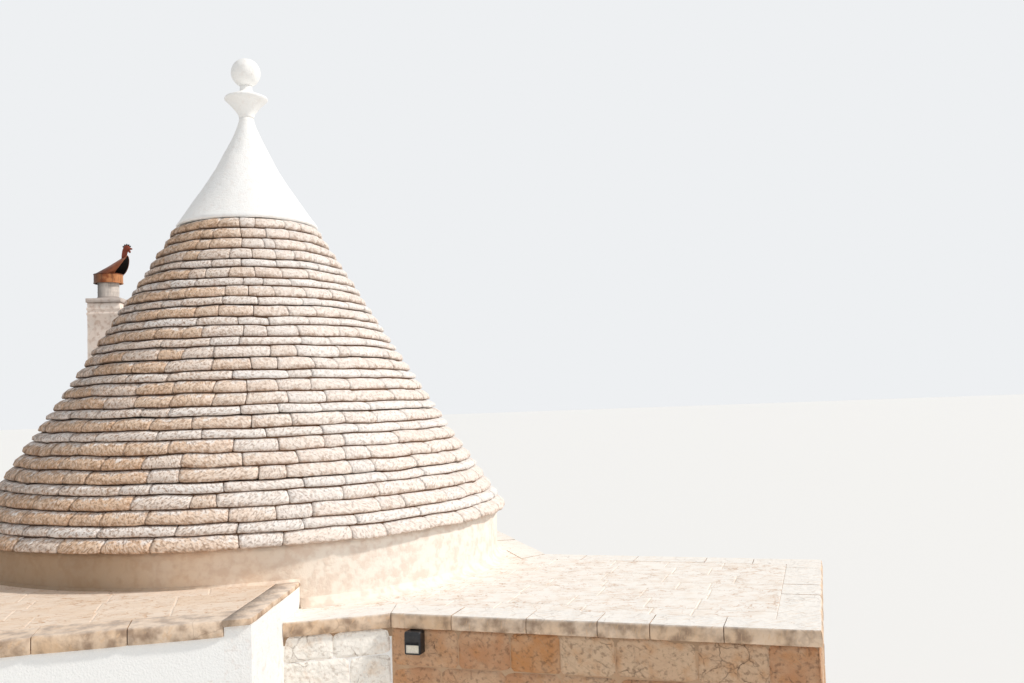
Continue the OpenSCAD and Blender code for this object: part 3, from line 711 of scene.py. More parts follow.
def chestnut():
    """Oiled chestnut boards: brown grain that runs up the boards, silvered in patches."""
    made, tree, place = new_material("Oiled chestnut")
    grain = streaked(tree, place, (0, 0, 0), (0.012, 0.012, 0.35), 1.0)
    grey = patches(tree, place, 0.2, 0.3, 0.3, 2.0)
    strong = between(tree, grain, 0.4, 0.6)
    shade = coats(tree, linear("#7a5132"), (linear("#553520"), strong), (linear("#8d7b68"), grey, 0.3))
    return finished(made, shade, 0.6, relief(tree, (grain, 0.002)))


# Mesh helpers


def new_object(name, data):
    """Puts a mesh, a light or a camera in the scene."""
    made = bpy.data.objects.new(name, data)
    bpy.context.scene.collection.objects.link(made)
    return made


def as_object(name, bm, material):
    """Turns a bmesh into an object as it is."""
    mesh = bpy.data.meshes.new(name)
    bm.to_mesh(mesh)
    bm.free()
    mesh.materials.append(material)
    return new_object(name, mesh)


def solid(name, bm, material, smooth=True):
    """Turns a bmesh into an object whose faces point outwards."""
    bmesh.ops.remove_doubles(bm, verts=bm.verts, dist=1e-6)
    bmesh.ops.recalc_face_normals(bm, faces=bm.faces)
    for face in bm.faces:
        face.smooth = smooth
    return as_object(name, bm, material)


def join(name, objects):
    """Joins objects into the first one and names it."""
    with bpy.context.temp_override(
        active_object=objects[0], selected_objects=objects, selected_editable_objects=objects
    ):
        bpy.ops.object.join()
    objects[0].name = name
    objects[0].data.name = name
    return objects[0]


def merge(bm, part):
    """Adds one bmesh to another."""
    mesh = bpy.data.meshes.new("part")
    part.to_mesh(mesh)
    part.free()
    bm.from_mesh(mesh)
    bpy.data.meshes.remove(mesh)


def paint(node, material):
    """Gives a node of the part its material."""
    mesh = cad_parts[node].data
    mesh.materials.clear()
    mesh.materials.append(material)


def dress(piece, body, slot, *nodes):
    """Says what a piece rides on and which nodes it stands for, which it hides and paints with its material.
    The slot is not used.
    """
    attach(piece, body)
    if nodes:
        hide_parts(*nodes)
    for node in nodes:
        paint(node, piece.data.materials[0])


def lumps(bm, size, height, seed=0.0, verts=None, outward=True):
    """Moves points along their normals by a soft noise. Only inwards if outward is off."""
    bm.normal_update()
    for vert in verts or bm.verts:
        swing = noise.noise(vert.co / size + Vector((seed, seed * 2, seed * 3)))
        move = swing * height if outward else -(0.5 + 0.5 * swing) * height
        vert.co += vert.normal * move


def skin(bm, rows, closed=True):
    """Skins rows of the same number of points, from the first to the last, with flat ends."""
    count = len(rows[0])
    for low, high in zip(rows, rows[1:]):
        for i in range(count):
            bm.faces.new((low[i], low[(i + 1) % count], high[(i + 1) % count], high[i]))
    if closed:
        bm.faces.new(list(reversed(rows[0])))
        bm.faces.new(rows[-1])


def loft(rings, closed=True):
    """A new bmesh with a skin over rings of points."""
    bm = bmesh.new()
    skin(bm, [[bm.verts.new(point) for point in ring] for ring in rings], closed)
    return bm


def circle(radius, z, count, centre=(0, 0)):
    """Points round an upright axis, at one height."""
    turns = [2 * math.pi * i / count for i in range(count)]
    return [(centre[0] + radius * math.cos(t), centre[1] + radius * math.sin(t), z) for t in turns]


def lathe(profile, count):
    """Turns a profile of radius and height, from the foot to the top, round the Z axis."""
    return loft([circle(max(radius, 1e-4), z, count) for radius, z in profile])


def hoop(section, count=96, centre=(0, 0)):
    """A closed ring with the given section of radii and heights."""
    rings = [circle(radius, z, count, centre) for radius, z in section]
    return loft(rings + rings[:1], closed=False)


def along(point, way, distance):
    """The flat point at a distance from another, along a way."""
    return (point[0] + way[0] * distance, point[1] + way[1] * distance)


def meet(p, u, q, w):
    """Where the line through p along u meets the line through q along w."""
    cross = u[0] * w[1] - u[1] * w[0]
    reach = ((q[0] - p[0]) * w[1] - (q[1] - p[1]) * w[0]) / cross
    return along(p, u, reach)


def unit(p, q):
    """The way from p to q."""
    size = math.dist(p, q)
    return ((q[0] - p[0]) / size, (q[1] - p[1]) / size)


def circle_point(angle, radius):
    """The flat point on a circle round the house's axis at an angle in degrees."""
    return (radius * math.cos(math.radians(angle)), radius * math.sin(math.radians(angle)))


def arc(start, end, radius, steps):
    """Flat points on a circle round the house's axis, from one angle to another."""
    return [circle_point(start + (end - start) * i / steps, radius) for i in range(steps + 1)]


def circle_angle(point, way, radius):
    """The angle in degrees at which a line comes from the front to a circle round the axis."""
    b = point[0] * way[0] + point[1] * way[1]
    c = point[0] ** 2 + point[1] ** 2 - radius**2
    reach = -b + math.sqrt(b * b - c)
    spot = along(point, way, reach)
    if spot[1] > 0 or math.dist(spot, point) > radius:
        spot = along(point, way, -b - math.sqrt(b * b - c))
    return math.degrees(math.atan2(spot[1], spot[0]))


def inset(points, distance):
    """An outline whose edges lie inside the first one, for points that run anticlockwise."""
    made = []
    for i, point in enumerate(points):
        a = unit(points[i - 1], point)
        b = unit(point, points[(i + 1) % len(points)])
        na = Vector((-a[1], a[0]))
        nb = Vector((-b[1], b[0]))
        move = (na + nb) * distance / (1 + na.dot(nb))
        made.append((point[0] + move.x, point[1] + move.y))
    return made


# Plan of the house


def wing_point(u, v):
    """A point of the wing, u along its front and v into it."""
    turn = math.radians(WING_A)
    return (
        CORNER_X + u * math.cos(turn) + v * math.sin(turn),
        RECESS_Y - u * math.sin(turn) + v * math.cos(turn),
    )


STEP_WAY = (-math.sin(math.radians(STEP_A)), -math.cos(math.radians(STEP_A)))
STEP_FOOT = (STEP_X, RECESS_Y)
STEP_END = along(STEP_FOOT, STEP_WAY, (RECESS_Y - FRONT_Y) / math.cos(math.radians(STEP_A)))
WING_START = wing_point(0, 0)
WING_TIP = wing_point(WING_L, 0)
WING_HEEL = wing_point(WING_L, WING_W)
WING_ROOT = meet(wing_point(0, WING_W), unit(WING_START, WING_TIP), (RIGHT_X, 0), (0, 1))
OUTLINE = {
    "front_left": (LEFT_X, FRONT_Y),
    "step_end": STEP_END,
    "step_foot": STEP_FOOT,
    "wing_start": WING_START,
    "wing_tip": WING_TIP,
    "wing_heel": WING_HEEL,
    "wing_root": WING_ROOT,
    "back_right": (RIGHT_X, BACK_Y),
    "back_left": (LEFT_X, BACK_Y),
}


# Stones

STONE_POINTS = ("corner_a", "corner_b", "corner_c", "corner_d", "depth_a", "depth_b")


def stone_tree():
    """Geometry nodes that put a worn stone on each point, between the corners that the point carries."""
    tree = bpy.data.node_groups.new("Stone setter", "GeometryNodeTree")
    face = tree.interface
    face.new_socket("Geometry", in_out="INPUT", socket_type="NodeSocketGeometry")
    for name, default in (
        ("Rounding", 0.008),
        ("Top rounding", 0.008),
        ("Bulge", 0.0),
        ("Roughness", 0.004),
        ("Lump size", 0.08),
        ("Waviness", 0.0),
        ("Ragged edges", 0.0),
    ):
        socket = face.new_socket(name, in_out="INPUT", socket_type="NodeSocketFloat")
        socket.default_value = default
        socket.subtype = "DISTANCE"
    for name, kind, default in (
        ("Corner rounding", "NodeSocketFloat", 0.0),
        ("Seed", "NodeSocketFloat", 0.0),
        ("Bent round the axis", "NodeSocketBool", False),
    ):
        face.new_socket(name, in_out="INPUT", socket_type=kind).default_value = default
    face.new_socket("Material", in_out="INPUT", socket_type="NodeSocketMaterial")
    face.new_socket("Geometry", in_out="OUTPUT", socket_type="NodeSocketGeometry")

    given = tree.nodes.new("NodeGroupInput").outputs
    carried = {}
    for name in (*STONE_POINTS, "face", "tone"):
        kind = "FLOAT" if name == "tone" else "FLOAT_VECTOR"
        carried[name] = add(tree, "GeometryNodeInputNamedAttribute", {"Name": name}, data_type=kind)

    def bent(point):
        """Where asked to, takes x as a turn from the front, y as a radius and z as a height."""
        parts = add(tree, "ShaderNodeSeparateXYZ", (point,)).node.outputs
        sine = add(tree, MATH, (parts["X"],), operation="SINE")
        cosine = add(tree, MATH, (parts["X"],), operation="COSINE")
        x = add(tree, MATH, (parts["Y"], sine), operation="MULTIPLY")
        ahead = add(tree, MATH, (parts["Y"], cosine), operation="MULTIPLY")
        y = add(tree, MATH, (ahead, -1.0), operation="MULTIPLY")
        turned = add(tree, "ShaderNodeCombineXYZ", (x, y, parts["Z"]))
        inputs = {"Switch": given["Bent round the axis"], "False": point, "True": turned}
        return add(tree, "GeometryNodeSwitch", inputs, input_type="VECTOR")

    # A block whose outer rows of faces are narrow, so that its edges can be rounded
    inputs = {"Size": (2, 2, 2), "Vertices X": 7, "Vertices Y": 2, "Vertices Z": 5}
    block = add(tree, "GeometryNodeMeshCube", inputs)
    place = add(tree, "GeometryNodeInputPosition")
    size = add(tree, VECTORS, (place,), operation="ABSOLUTE")
    size = add(tree, VECTORS, ((2, 2, 2), size), operation="SUBTRACT")
    crowded = add(tree, VECTORS, (place, size), operation="MULTIPLY")
    stored = {"data_type": "FLOAT_VECTOR", "domain": "POINT"}
    inputs = {"Geometry": block, "Name": "face", "Value": crowded}
    block = add(tree, "GeometryNodeStoreNamedAttribute", inputs, **stored)
    stones = add(tree, "GeometryNodeInstanceOnPoints", {"Points": given["Geometry"], "Instance": block})
    stones = add(tree, "GeometryNodeRealizeInstances", {"Geometry": stones})

    # Where a point lies along the stone, into it and up it, from 0 to 1, with the corners worn off
    spot = add(tree, "ShaderNodeSeparateXYZ", (carried["face"],)).node.outputs
    ends = add(tree, MATH, (spot["X"],), operation="ABSOLUTE")
    ends = add(tree, MATH, (ends, 8.0), operation="POWER")
    rims = add(tree, MATH, (spot["Z"],), operation="ABSOLUTE")
    rims = add(tree, MATH, (rims, 4.0), operation="POWER")
    shorter = add(tree, MATH, (given["Corner rounding"], rims), operation="MULTIPLY")
    shorter = add(tree, MATH, (1.0, shorter), operation="SUBTRACT")
    lower = add(tree, MATH, (ends, 1.6), operation="MULTIPLY")
    lower = add(tree, MATH, (given["Corner rounding"], lower), operation="MULTIPLY")
    lower = add(tree, MATH, (1.0, lower), operation="SUBTRACT")
    across = add(tree, MATH, (spot["X"], shorter), operation="MULTIPLY")
    across = add(tree, MATH, (across, 0.5, 0.5), operation="MULTIPLY_ADD")
    inside = add(tree, MATH, (spot["Y"], 0.5, 0.5), operation="MULTIPLY_ADD")
    up = add(tree, MATH, (spot["Z"], lower), operation="MULTIPLY")
    up = add(tree, MATH, (up, 0.5, 0.5), operation="MULTIPLY_ADD")

    # The same point between the corners of the stone
    blend = {"out": 1, "data_type": "VECTOR"}
    low = add(tree, "ShaderNodeMix", {0: across, 4: carried["corner_a"], 5: carried["corner_b"]}, **blend)
    high = add(tree, "ShaderNodeMix", {0: across, 4: carried["corner_d"], 5: carried["corner_c"]}, **blend)
    front = add(tree, "ShaderNodeMix", {0: up, 4: low, 5: high}, **blend)
    depth = add(tree, "ShaderNodeMix", {0: across, 4: carried["depth_a"], 5: carried["depth_b"]}, **blend)
    built = bent(front)

    # How far the face lies back: rounded edges, a swelling and lumps
    foot = add(tree, MATH, (spot["Z"], -1.0), operation="MULTIPLY")
    foot = add(tree, MATH, (foot, 0.0), operation="MAXIMUM")
    foot = add(tree, MATH, (foot, 8.0), operation="POWER")
    crest = add(tree, MATH, (spot["Z"], 0.0), operation="MAXIMUM")
    crest = add(tree, MATH, (crest, 4.0), operation="POWER")
    crest = add(tree, MATH, (crest, given["Top rounding"]), operation="MULTIPLY")
    back = add(tree, MATH, (ends, foot), operation="ADD")
    back = add(tree, MATH, (back, given["Rounding"]), operation="MULTIPLY")
    back = add(tree, MATH, (back, crest), operation="ADD")
    swell = add(tree, MATH, (spot["Z"], spot["Z"]), operation="MULTIPLY")
    swell = add(tree, MATH, (1.0, swell), operation="SUBTRACT")
    swell = add(tree, MATH, (swell, given["Bulge"]), operation="MULTIPLY")
    back = add(tree, MATH, (back, swell), operation="SUBTRACT")
    own = add(tree, MATH, (carried["tone"], 40.0, given["Seed"]), operation="MULTIPLY_ADD")
    scale = add(tree, MATH, (1.0, given["Lump size"]), operation="DIVIDE")
    inputs = {"Vector": built, "W": own, "Scale": scale, "Detail": 3.0}
    lump = add(tree, "ShaderNodeTexNoise", inputs, noise_dimensions="4D")
    lump = add(tree, MATH, (lump, 0.35), operation="SUBTRACT")
    lump = add(tree, MATH, (lump, 2.0), operation="MULTIPLY")
    rough = add(tree, MATH, (lump, given["Roughness"]), operation="MULTIPLY")
    back = add(tree, MATH, (back, rough), operation="ADD")
    ahead = add(tree, MATH, (1.0, inside), operation="SUBTRACT")
    back = add(tree, MATH, (back, ahead), operation="MULTIPLY")
    inwards = add(tree, VECTORS, (depth,), operation="NORMALIZE")
    back = add(tree, VECTORS, {0: inwards, 3: back}, operation="SCALE")
    moved = add(tree, VECTORS, (front, back), operation="ADD")
    deep = add(tree, VECTORS, {0: depth, 3: inside}, operation="SCALE")
    moved = add(tree, VECTORS, (moved, deep), operation="ADD")

    # Courses rise and fall a little, neighbours together
    inputs = {"Vector": built, "W": given["Seed"], "Scale": 2.4, "Detail": 2.0}
    rise = add(tree, "ShaderNodeTexNoise", inputs, noise_dimensions="4D")
    rise = add(tree, MATH, (rise, 0.5), operation="SUBTRACT")
    rise = add(tree, MATH, (rise, 4.0), operation="MULTIPLY")
    rise = add(tree, MATH, (rise, given["Waviness"]), operation="MULTIPLY")
    chipped = add(tree, MATH, (lump, spot["Z"]), operation="MULTIPLY")
    chipped = add(tree, MATH, (chipped, given["Ragged edges"]), operation="MULTIPLY")
    rise = add(tree, MATH, (rise, chipped), operation="SUBTRACT")
    rise = add(tree, "ShaderNodeCombineXYZ", {"Z": rise})
    moved = add(tree, VECTORS, (moved, rise), operation="ADD")

    # The tool marks follow the stone, and differ from one to the next
    height = add(tree, "ShaderNodeSeparateXYZ", (built,), out="Z")
    marked = add(tree, MATH, (spot["X"], 0.2, own), operation="MULTIPLY_ADD")
    marked = add(tree, "ShaderNodeCombineXYZ", (marked, inside, height))
    inputs = {"Geometry": stones, "Name": "laid", "Value": marked}
    stones = add(tree, "GeometryNodeStoreNamedAttribute", inputs, **stored)
    stones = add(tree, "GeometryNodeSetPosition", {"Geometry": stones, "Position": bent(moved)})
    stones = add(tree, "GeometryNodeSetShadeSmooth", {"Geometry": stones, "Shade Smooth": True})
    stones = add(tree, "GeometryNodeSetMaterial", {"Geometry": stones, "Material": given["Material"]})
    add(tree, "NodeGroupOutput", {"Geometry": stones})
    return tree


def stone(a, b, c, d, depth_a, depth_b=None, tone=0.5, pale=0.0):
    """One stone: its face's corners from low left round to high left, and its depth at both ends."""
    made = dict(zip(STONE_POINTS, (a, b, c, d, depth_a, depth_b or depth_a)))
    made.update(tone=tone, pale=pale)
    return made


def set_stones(name, stones, material, sizes):
    """Runs the stone setter on a list of stones and keeps the result as a plain mesh."""
    tree = bpy.data.node_groups.get("Stone setter") or stone_tree()
    mesh = bpy.data.meshes.new(name + "_points")
    mesh.from_pydata([s["corner_a"] for s in stones], [], [])
    for key in STONE_POINTS:
        layer = mesh.attributes.new(key, "FLOAT_VECTOR", "POINT")
        layer.data.foreach_set("vector", [value for s in stones for value in s[key]])
    for key in ("tone", "pale"):
        layer = mesh.attributes.new(key, "FLOAT", "POINT")
        layer.data.foreach_set("value", [s[key] for s in stones])
    maker = new_object(name + "_points", mesh)
    modifier = maker.modifiers.new("Stones", "NODES")
    modifier.node_group = tree
    given = {**sizes, "Material": material}
    for socket in tree.interface.items_tree:
        if socket.in_out == "INPUT" and socket.name in given:
            modifier[socket.identifier] = given[socket.name]
    evaluated = maker.evaluated_get(bpy.context.evaluated_depsgraph_get())
    made = bpy.data.meshes.new_from_object(evaluated)
    maker.modifiers.remove(modifier)
    bpy.data.objects.remove(maker)
    for key in STONE_POINTS:
        layer = made.attributes.get(key)
        if layer:
            made.attributes.remove(layer)
    made.name = name
    return new_object(name, made)


# Roof


def course_heights():
    """The height of each joint of the roof, from the eaves up."""
    heights = [EAVES_Z]
    for k in range(1, COURSE_N + 1):
        heights.append(heights[-1] + (THIN_H if k in THIN_COURSES else COURSE_H))
    return heights


def cone_r(z):
    """The cone's radius at a height: its side sags a little between the eaves and the cap."""
    t = (z - EAVES_Z) / (CONE_TOP_Z - EAVES_Z)
    return RIM_R + (TOP_R - RIM_R) * t - 4 * SAG * t * (1 - t)


def course_slabs(k, z0, z1, roof, rng):
    """The slabs of one course, in turns, radii and heights."""
    r0 = cone_r(z0) - roof.rough
    r1 = cone_r(z1) - roof.rough
    share = k / COURSE_N
    mean = roof.slab_low + (roof.slab_high - roof.slab_low) * share
    thin = k + 1 in THIN_COURSES
    mean *= 1.2 if thin else 1.0
    count = round(2 * math.pi * r0 / mean)
    step = 2 * math.pi / count
    start = rng.random() * step
    turns = [start + (i + rng.uniform(-0.33, 0.33)) * step for i in range(count)]
    leans = [rng.uniform(-0.2, 0.2) * (z1 - z0) / r0 for _ in range(count)]
    half = roof.joint / 2
    gap = half / r0
    deep = 0.30 if k == 0 else 0.17
    slabs = []
    for i in range(count):
        low0, low1 = turns[i], turns[(i + 1) % count] + (2 * math.pi if i == count - 1 else 0)
        top0, top1 = low0 + leans[i], low1 + leans[(i + 1) % count]
        push = rng.uniform(0, 0.012)
        drop = rng.uniform(-0.001, 0.004)
        slabs.append(
            stone(
                (low0 + gap, r0 - push, z0 + half),
                (low1 - gap, r0 - push, z0 + half),
                (top1 - gap, r1 - push, z1 - half - drop),
                (top0 + gap, r1 - push, z1 - half - drop),
                (0, -deep, 0),
                tone=rng.random(),
                pale=rng.uniform(0.5, 1.0) if thin else rng.choice((0, 0, 0, 0, 0, 0.5)),
            )
        )
    return slabs


class TRULLO_OT_roof_slabs(bpy.types.Operator):
    """Lays the courses of slabs on the cone, one piece for each band"""

    bl_idname = "trullo.roof_slabs"
    bl_label = "Lay roof slabs"

    def execute(self, context):
        roof = context.scene.trullo_roof
        rng = random.Random(roof.seed)
        slab = slab_limestone(roof)
        earth = bedding_earth(roof)
        heights = course_heights()
        per_band = math.ceil(COURSE_N / BAND_N)
        sizes = {
            "Rounding": 0.009,
            "Top rounding": 0.026,
            "Bulge": roof.bulge,
            "Roughness": roof.rough,
            "Lump size": 0.09,
            "Waviness": 0.010,
            "Corner rounding": 0.022,
            "Ragged edges": 0.006,
            "Bent round the axis": True,
        }
        for band in range(BAND_N):
            first = band * per_band
            last = min(first + per_band, COURSE_N)
            slabs = []
            for k in range(first, last):
                slabs += course_slabs(k, heights[k], heights[k + 1], roof, rng)
            name = f"roof_slabs_{band + 1}"
            made = set_stones(name, slabs, slab, sizes)
            z0, z1 = heights[first] + 0.008, heights[last] - 0.004
            low, high = cone_r(z0) - BED_BACK, cone_r(z1) - BED_BACK
            bm = hoop([(low - BED_T, z0), (low, z0), (high, z1), (high - BED_T, z1)])
            bed = solid(name + "_bed", bm, earth)
            dress(join(name, [made, bed]), "house", "slab_stone", f"roof_band_{band + 1}")
        return {"FINISHED"}


class TRULLO_OT_pinnacle(bpy.types.Operator):
    """Shapes the white cap, its disc and its ball"""

    bl_idname = "trullo.pinnacle"
    bl_label = "Shape the pinnacle"

    def execute(self, context):
        coat = limewash(context.scene.trullo_wall, "Pinnacle limewash", 0.05)
        sides = 96
        foot = 0.018
        curve = 1.29
        neck = 0.072
        rows = 44
        profile = [(TOP_R - 0.05, CONE_TOP_Z), (TOP_R - 0.012, CONE_TOP_Z)]
        for i in range(rows + 1):
            t = i / rows
            z = CONE_TOP_Z + foot + (CAP_TOP_Z - CONE_TOP_Z - foot) * t
            profile.append((neck + (TOP_R - neck) * (1 - t) ** curve - 0.004 * (1 - t), z))
        bm = lathe(profile, sides)
        lumps(bm, 0.3, 0.008, 1.0)
        lumps(bm, 0.07, 0.0025, 2.0)
        dress(solid("cap_coat", bm, coat), "house", "limewash", "white_cap")

        low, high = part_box("pinnacle_disc")
        rim = high.x
        collar_r = 0.062
        collar_z = high.z - 0.05
        flare = 0.195
        profile = [(0.05, low.z), (0.072, low.z)]
        for i in range(1, 11):
            t = i / 10
            profile.append((neck + (rim - 0.004 - neck) * t**1.5, low.z + flare * t))
        profile += [
            (rim - 0.001, low.z + flare + 0.010),
            (rim - 0.005, low.z + flare + 0.019),
            (rim - 0.018, low.z + flare + 0.026),
            (0.12, low.z + flare + 0.062),
            (collar_r + 0.02, collar_z - 0.012),
            (collar_r + 0.004, collar_z),
            (collar_r, collar_z + 0.012),
            (collar_r - 0.002, high.z - 0.004),
            (collar_r - 0.006, high.z),
        ]
        bm = lathe(profile, 64)
        lumps(bm, 0.12, 0.003, 3.0)
        dress(solid("disc_coat", bm, coat), "house", "limewash", "pinnacle_disc")

        low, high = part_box("pinnacle_ball")
        play = 0.0012
        radius = high.x - play
        centre = high.z - play - radius
        bm = bmesh.new()
        bmesh.ops.create_uvsphere(bm, u_segments=48, v_segments=32, radius=radius)
        for vert in bm.verts:
            vert.co.z = max(vert.co.z + centre, low.z)
        lumps(bm, 0.1, 0.0022, 4.0, outward=False)
        dress(solid("ball_coat", bm, coat), "house", "limewash", "pinnacle_ball")
        return {"FINISHED"}


class TRULLO_OT_drum(bpy.types.Operator):
    """Plasters the drum under the eaves"""

    bl_idname = "trullo.drum"
    bl_label = "Plaster the drum"

    def execute(self, context):
        wall = context.scene.trullo_wall
        inner = DRUM_R - DRUM_T
        rows = 14
        profile = [(inner, WALL_TOP_Z)]
        for i in range(rows + 1):
            profile.append((DRUM_R - 0.001, WALL_TOP_Z + (EAVES_Z - WALL_TOP_Z) * i / rows))
        profile.append((inner, EAVES_Z))
        bm = hoop(profile, 192)
        outer = [v for v in bm.verts if math.hypot(v.co.x, v.co.y) > DRUM_R - 0.01]
        for vert in outer:
            swing = noise.noise(vert.co / 0.4) + 0.4 * noise.noise(vert.co / 0.12)
            pull = 0.007 * (0.8 + swing)
            reach = math.hypot(vert.co.x, vert.co.y)
            vert.co.x *= (reach - pull) / reach
            vert.co.y *= (reach - pull) / reach
        coat = lime_plaster(wall)
        parts = [solid("drum_plaster", bm, coat)]

        # A fillet of plaster where the drum stands on each terrace
        step = circle_angle(STEP_FOOT, STEP_WAY, DRUM_R)
        for start, end, z, out in ((step, 90, LOW_Z, 0.085), (90, step + 360, HIGH_Z, 0.025)):
            rings = []
            steps = round((end - start) / 2)
            for i in range(steps + 1):
                angle = math.radians(start + (end - start) * i / steps)
                way = Vector((math.cos(angle), math.sin(angle), 0))
                wide = out * (1 + 0.25 * noise.noise(way * 4))
                section = [(-0.03, -0.01), (wide, -0.01), (wide, 0.005), (0.5 * wide, 0.2 * out)]
                section += [(0.18 * wide, 0.46 * out), (-0.004, 0.85 * out), (-0.03, 0.85 * out)]
                rings.append([way * (DRUM_R + x) + Vector((0, 0, z + rise)) for x, rise in section])
            parts.append(solid("fillet", loft(rings), coat))
        piece = join("drum_plaster", parts)
        dress(piece, "house", "lime_plaster", "drum_front", "drum_right", "drum_back", "drum_left")
        return {"FINISHED"}


# Walls


def split(start, end, mean, rng, jitter=0.3):
    """Cuts a length into parts near the mean, at uneven places."""
    count = max(1, round((end - start) / mean))
    step = (end - start) / count
    inner = [start + (i + rng.uniform(-jitter, jitter)) * step for i in range(1, count)]
    return [start] + inner + [end]


def without(spans, low, high):
    """Cuts a range out of spans and drops the scraps."""
    parts = [part for a, b in spans for part in ((a, min(b, low)), (max(a, high), b))]
    return [(a, b) for a, b in parts if b - a > SCRAP]


def facing(p, q, top, holes, wall, rng, grow):
    """Blocks over one side of a wall from p to q. Holes are (from, to, low, high) along it."""
    way = unit(p, q)
    out = (way[1], -way[0])
    run = math.dist(p, q)
    levels = {0.0, top}
    for hole in holes:
        levels.update(hole[2:])
        if hole[3] + LINTEL_H < top - 0.05:
            levels.add(hole[3] + LINTEL_H)
    levels = sorted(levels)
    joints = [0.0]
    for low, high in zip(levels, levels[1:]):
        joints += split(low, high, wall.course, rng, 0.12)[1:]
    half = JOINT / 2
    deep = wall.proud + 0.004
    blocks = []
    for z0, z1 in zip(joints, joints[1:]):
        spans = [(-grow[0], run + grow[1])]
        ties = []
        for hole in holes:
            over = abs(z0 - hole[3]) < 1e-6
            if hole[2] - 1e-6 <= z0 and z1 <= hole[3] + 1e-6:
                spans = without(spans, hole[0], hole[1])
            elif over or abs(z1 - hole[2]) < 1e-6:
                reach = LINTEL_EARS if over else SILL_EARS
                tie = (max(-grow[0], hole[0] - reach), min(run + grow[1], hole[1] + reach))
                ties.append(tie)
                spans = without(spans, *tie)
        cells = []
        for a, b in spans:
            cuts = split(a, b, wall.block, rng)
            cells += zip(cuts, cuts[1:])
        for u0, u1 in cells + ties:
            lean = rng.uniform(-0.006, 0.006)
            base = rng.uniform(-0.002, 0)
            left, right = u0 + half, u1 - half
            low, high = z0 + half, z1 - half
            corners = []
            for u, z in ((left, low), (right, low), (right + lean, high), (left + lean, high)):
                corners.append((*along(along(p, way, u), out, wall.proud + base), z))
            blocks.append(stone(*corners, (-out[0] * deep, -out[1] * deep, 0), tone=rng.random()))
    return blocks


class TRULLO_OT_walls(bpy.types.Operator):
    """Faces the walls with blocks and limewash"""

    bl_idname = "trullo.walls"
    bl_label = "Face the walls"

    def execute(self, context):
        wall = context.scene.trullo_wall
        rng = random.Random(wall.seed)
        bare = block_limestone(wall)
        washed = block_limestone(wall, washed=True)
        white = limewash(wall)
        mortar = lime_mortar(wall)
        proud = wall.proud
        doorway = (STORE_U, STORE_U + STORE_W, 0.0, STORE_TOP)
        windows = []
        for middle in (WIN_Y - OUTLINE["wing_root"][1], OUTLINE["back_right"][0]):
            windows.append((middle - WIN_W / 2, middle + WIN_W / 2, SILL_Z, SILL_Z + WIN_H))
        sides = (
            ("blocks_recess", "step_foot", "wing_start", washed, [], (0, -proud)),
            ("blocks_wing_front", "wing_start", "wing_tip", bare, [doorway], (-proud, proud)),
            ("blocks_wing_end", "wing_tip", "wing_heel", bare, [], (proud, proud)),
            ("blocks_wing_back", "wing_heel", "wing_root", bare, [], (proud, -proud)),
            ("blocks_right", "wing_root", "back_right", bare, windows[:1], (-proud, proud)),
            ("blocks_back", "back_right", "back_left", bare, windows[1:], (proud, 0)),
        )
        sizes = {
            "Rounding": 0.005,
            "Top rounding": 0.005,
            "Roughness": 0.006,
            "Lump size": 0.12,
            "Ragged edges": 0.006,
        }
        for name, start, end, finish, holes, grow in sides:
            blocks = facing(OUTLINE[start], OUTLINE[end], LOW_Z - COPING_T, holes, wall, rng, grow)
            dress(set_stones(name, blocks, finish, sizes), "house", "block_stone")
        for node in ("front_wall", "left_wall_front", "left_wall_back"):
            paint(node, white)
        for node in ("back_wall", "right_wall", "party_wall", "wing_vault"):
            paint(node, mortar)
        for side in ("front", "end", "back"):
            paint(f"wing_{side}_wall", mortar)
        return {"FINISHED"}


# Terraces


def paving_cells(area, row, slab, turn, rng):
    """Cuts an area into rows of slabs. Returns the outline of each slab."""
    bm = bmesh.new()
    bm.faces.new([bm.verts.new((x, y, 0)) for x, y in area])
    way = Vector((math.cos(turn), math.sin(turn), 0))
    side = Vector((-way.y, way.x, 0))
    lows = [side.dot(v.co) for v in bm.verts]
    rows = split(min(lows), max(lows), row, rng, 0.12)
    for level in rows[1:-1]:
        parts = bm.verts[:] + bm.edges[:] + bm.faces[:]
        bmesh.ops.bisect_plane(bm, geom=parts, plane_co=side * level, plane_no=side)
    for low, high in zip(rows, rows[1:]):
        middle = (low + high) / 2
        inside = [f for f in bm.faces if low < side.dot(f.calc_center_median()) < high]
        if not inside:
            continue
        spans = [way.dot(v.co) for f in inside for v in f.verts]
        for cut in split(min(spans), max(spans), slab, rng, 0.3)[1:-1]:
            faces = [f for f in bm.faces if low < side.dot(f.calc_center_median()) < high]
            edges = {e for f in faces for e in f.edges}
            verts = {v for f in faces for v in f.verts}
            parts = [*faces, *edges, *verts]
            bmesh.ops.bisect_plane(bm, geom=parts, plane_co=way * cut + side * middle, plane_no=way)
    cells = []
    for face in bm.faces:
        points = [(v.co.x, v.co.y) for v in face.verts]
        if face.normal.z < 0:
            points.reverse()
        if face.calc_area() > 0.006:
            cells.append(tidy_outline(points))
    bm.free()
    return cells


def tidy_outline(points):
    """Drops points that lie on a straight edge."""
    kept = []
    for i, point in enumerate(points):
        a = Vector(point) - Vector(points[i - 1])
        b = Vector(points[(i + 1) % len(points)]) - Vector(point)
        if abs(a.x * b.y - a.y * b.x) > 1e-7:
            kept.append(point)
    return kept


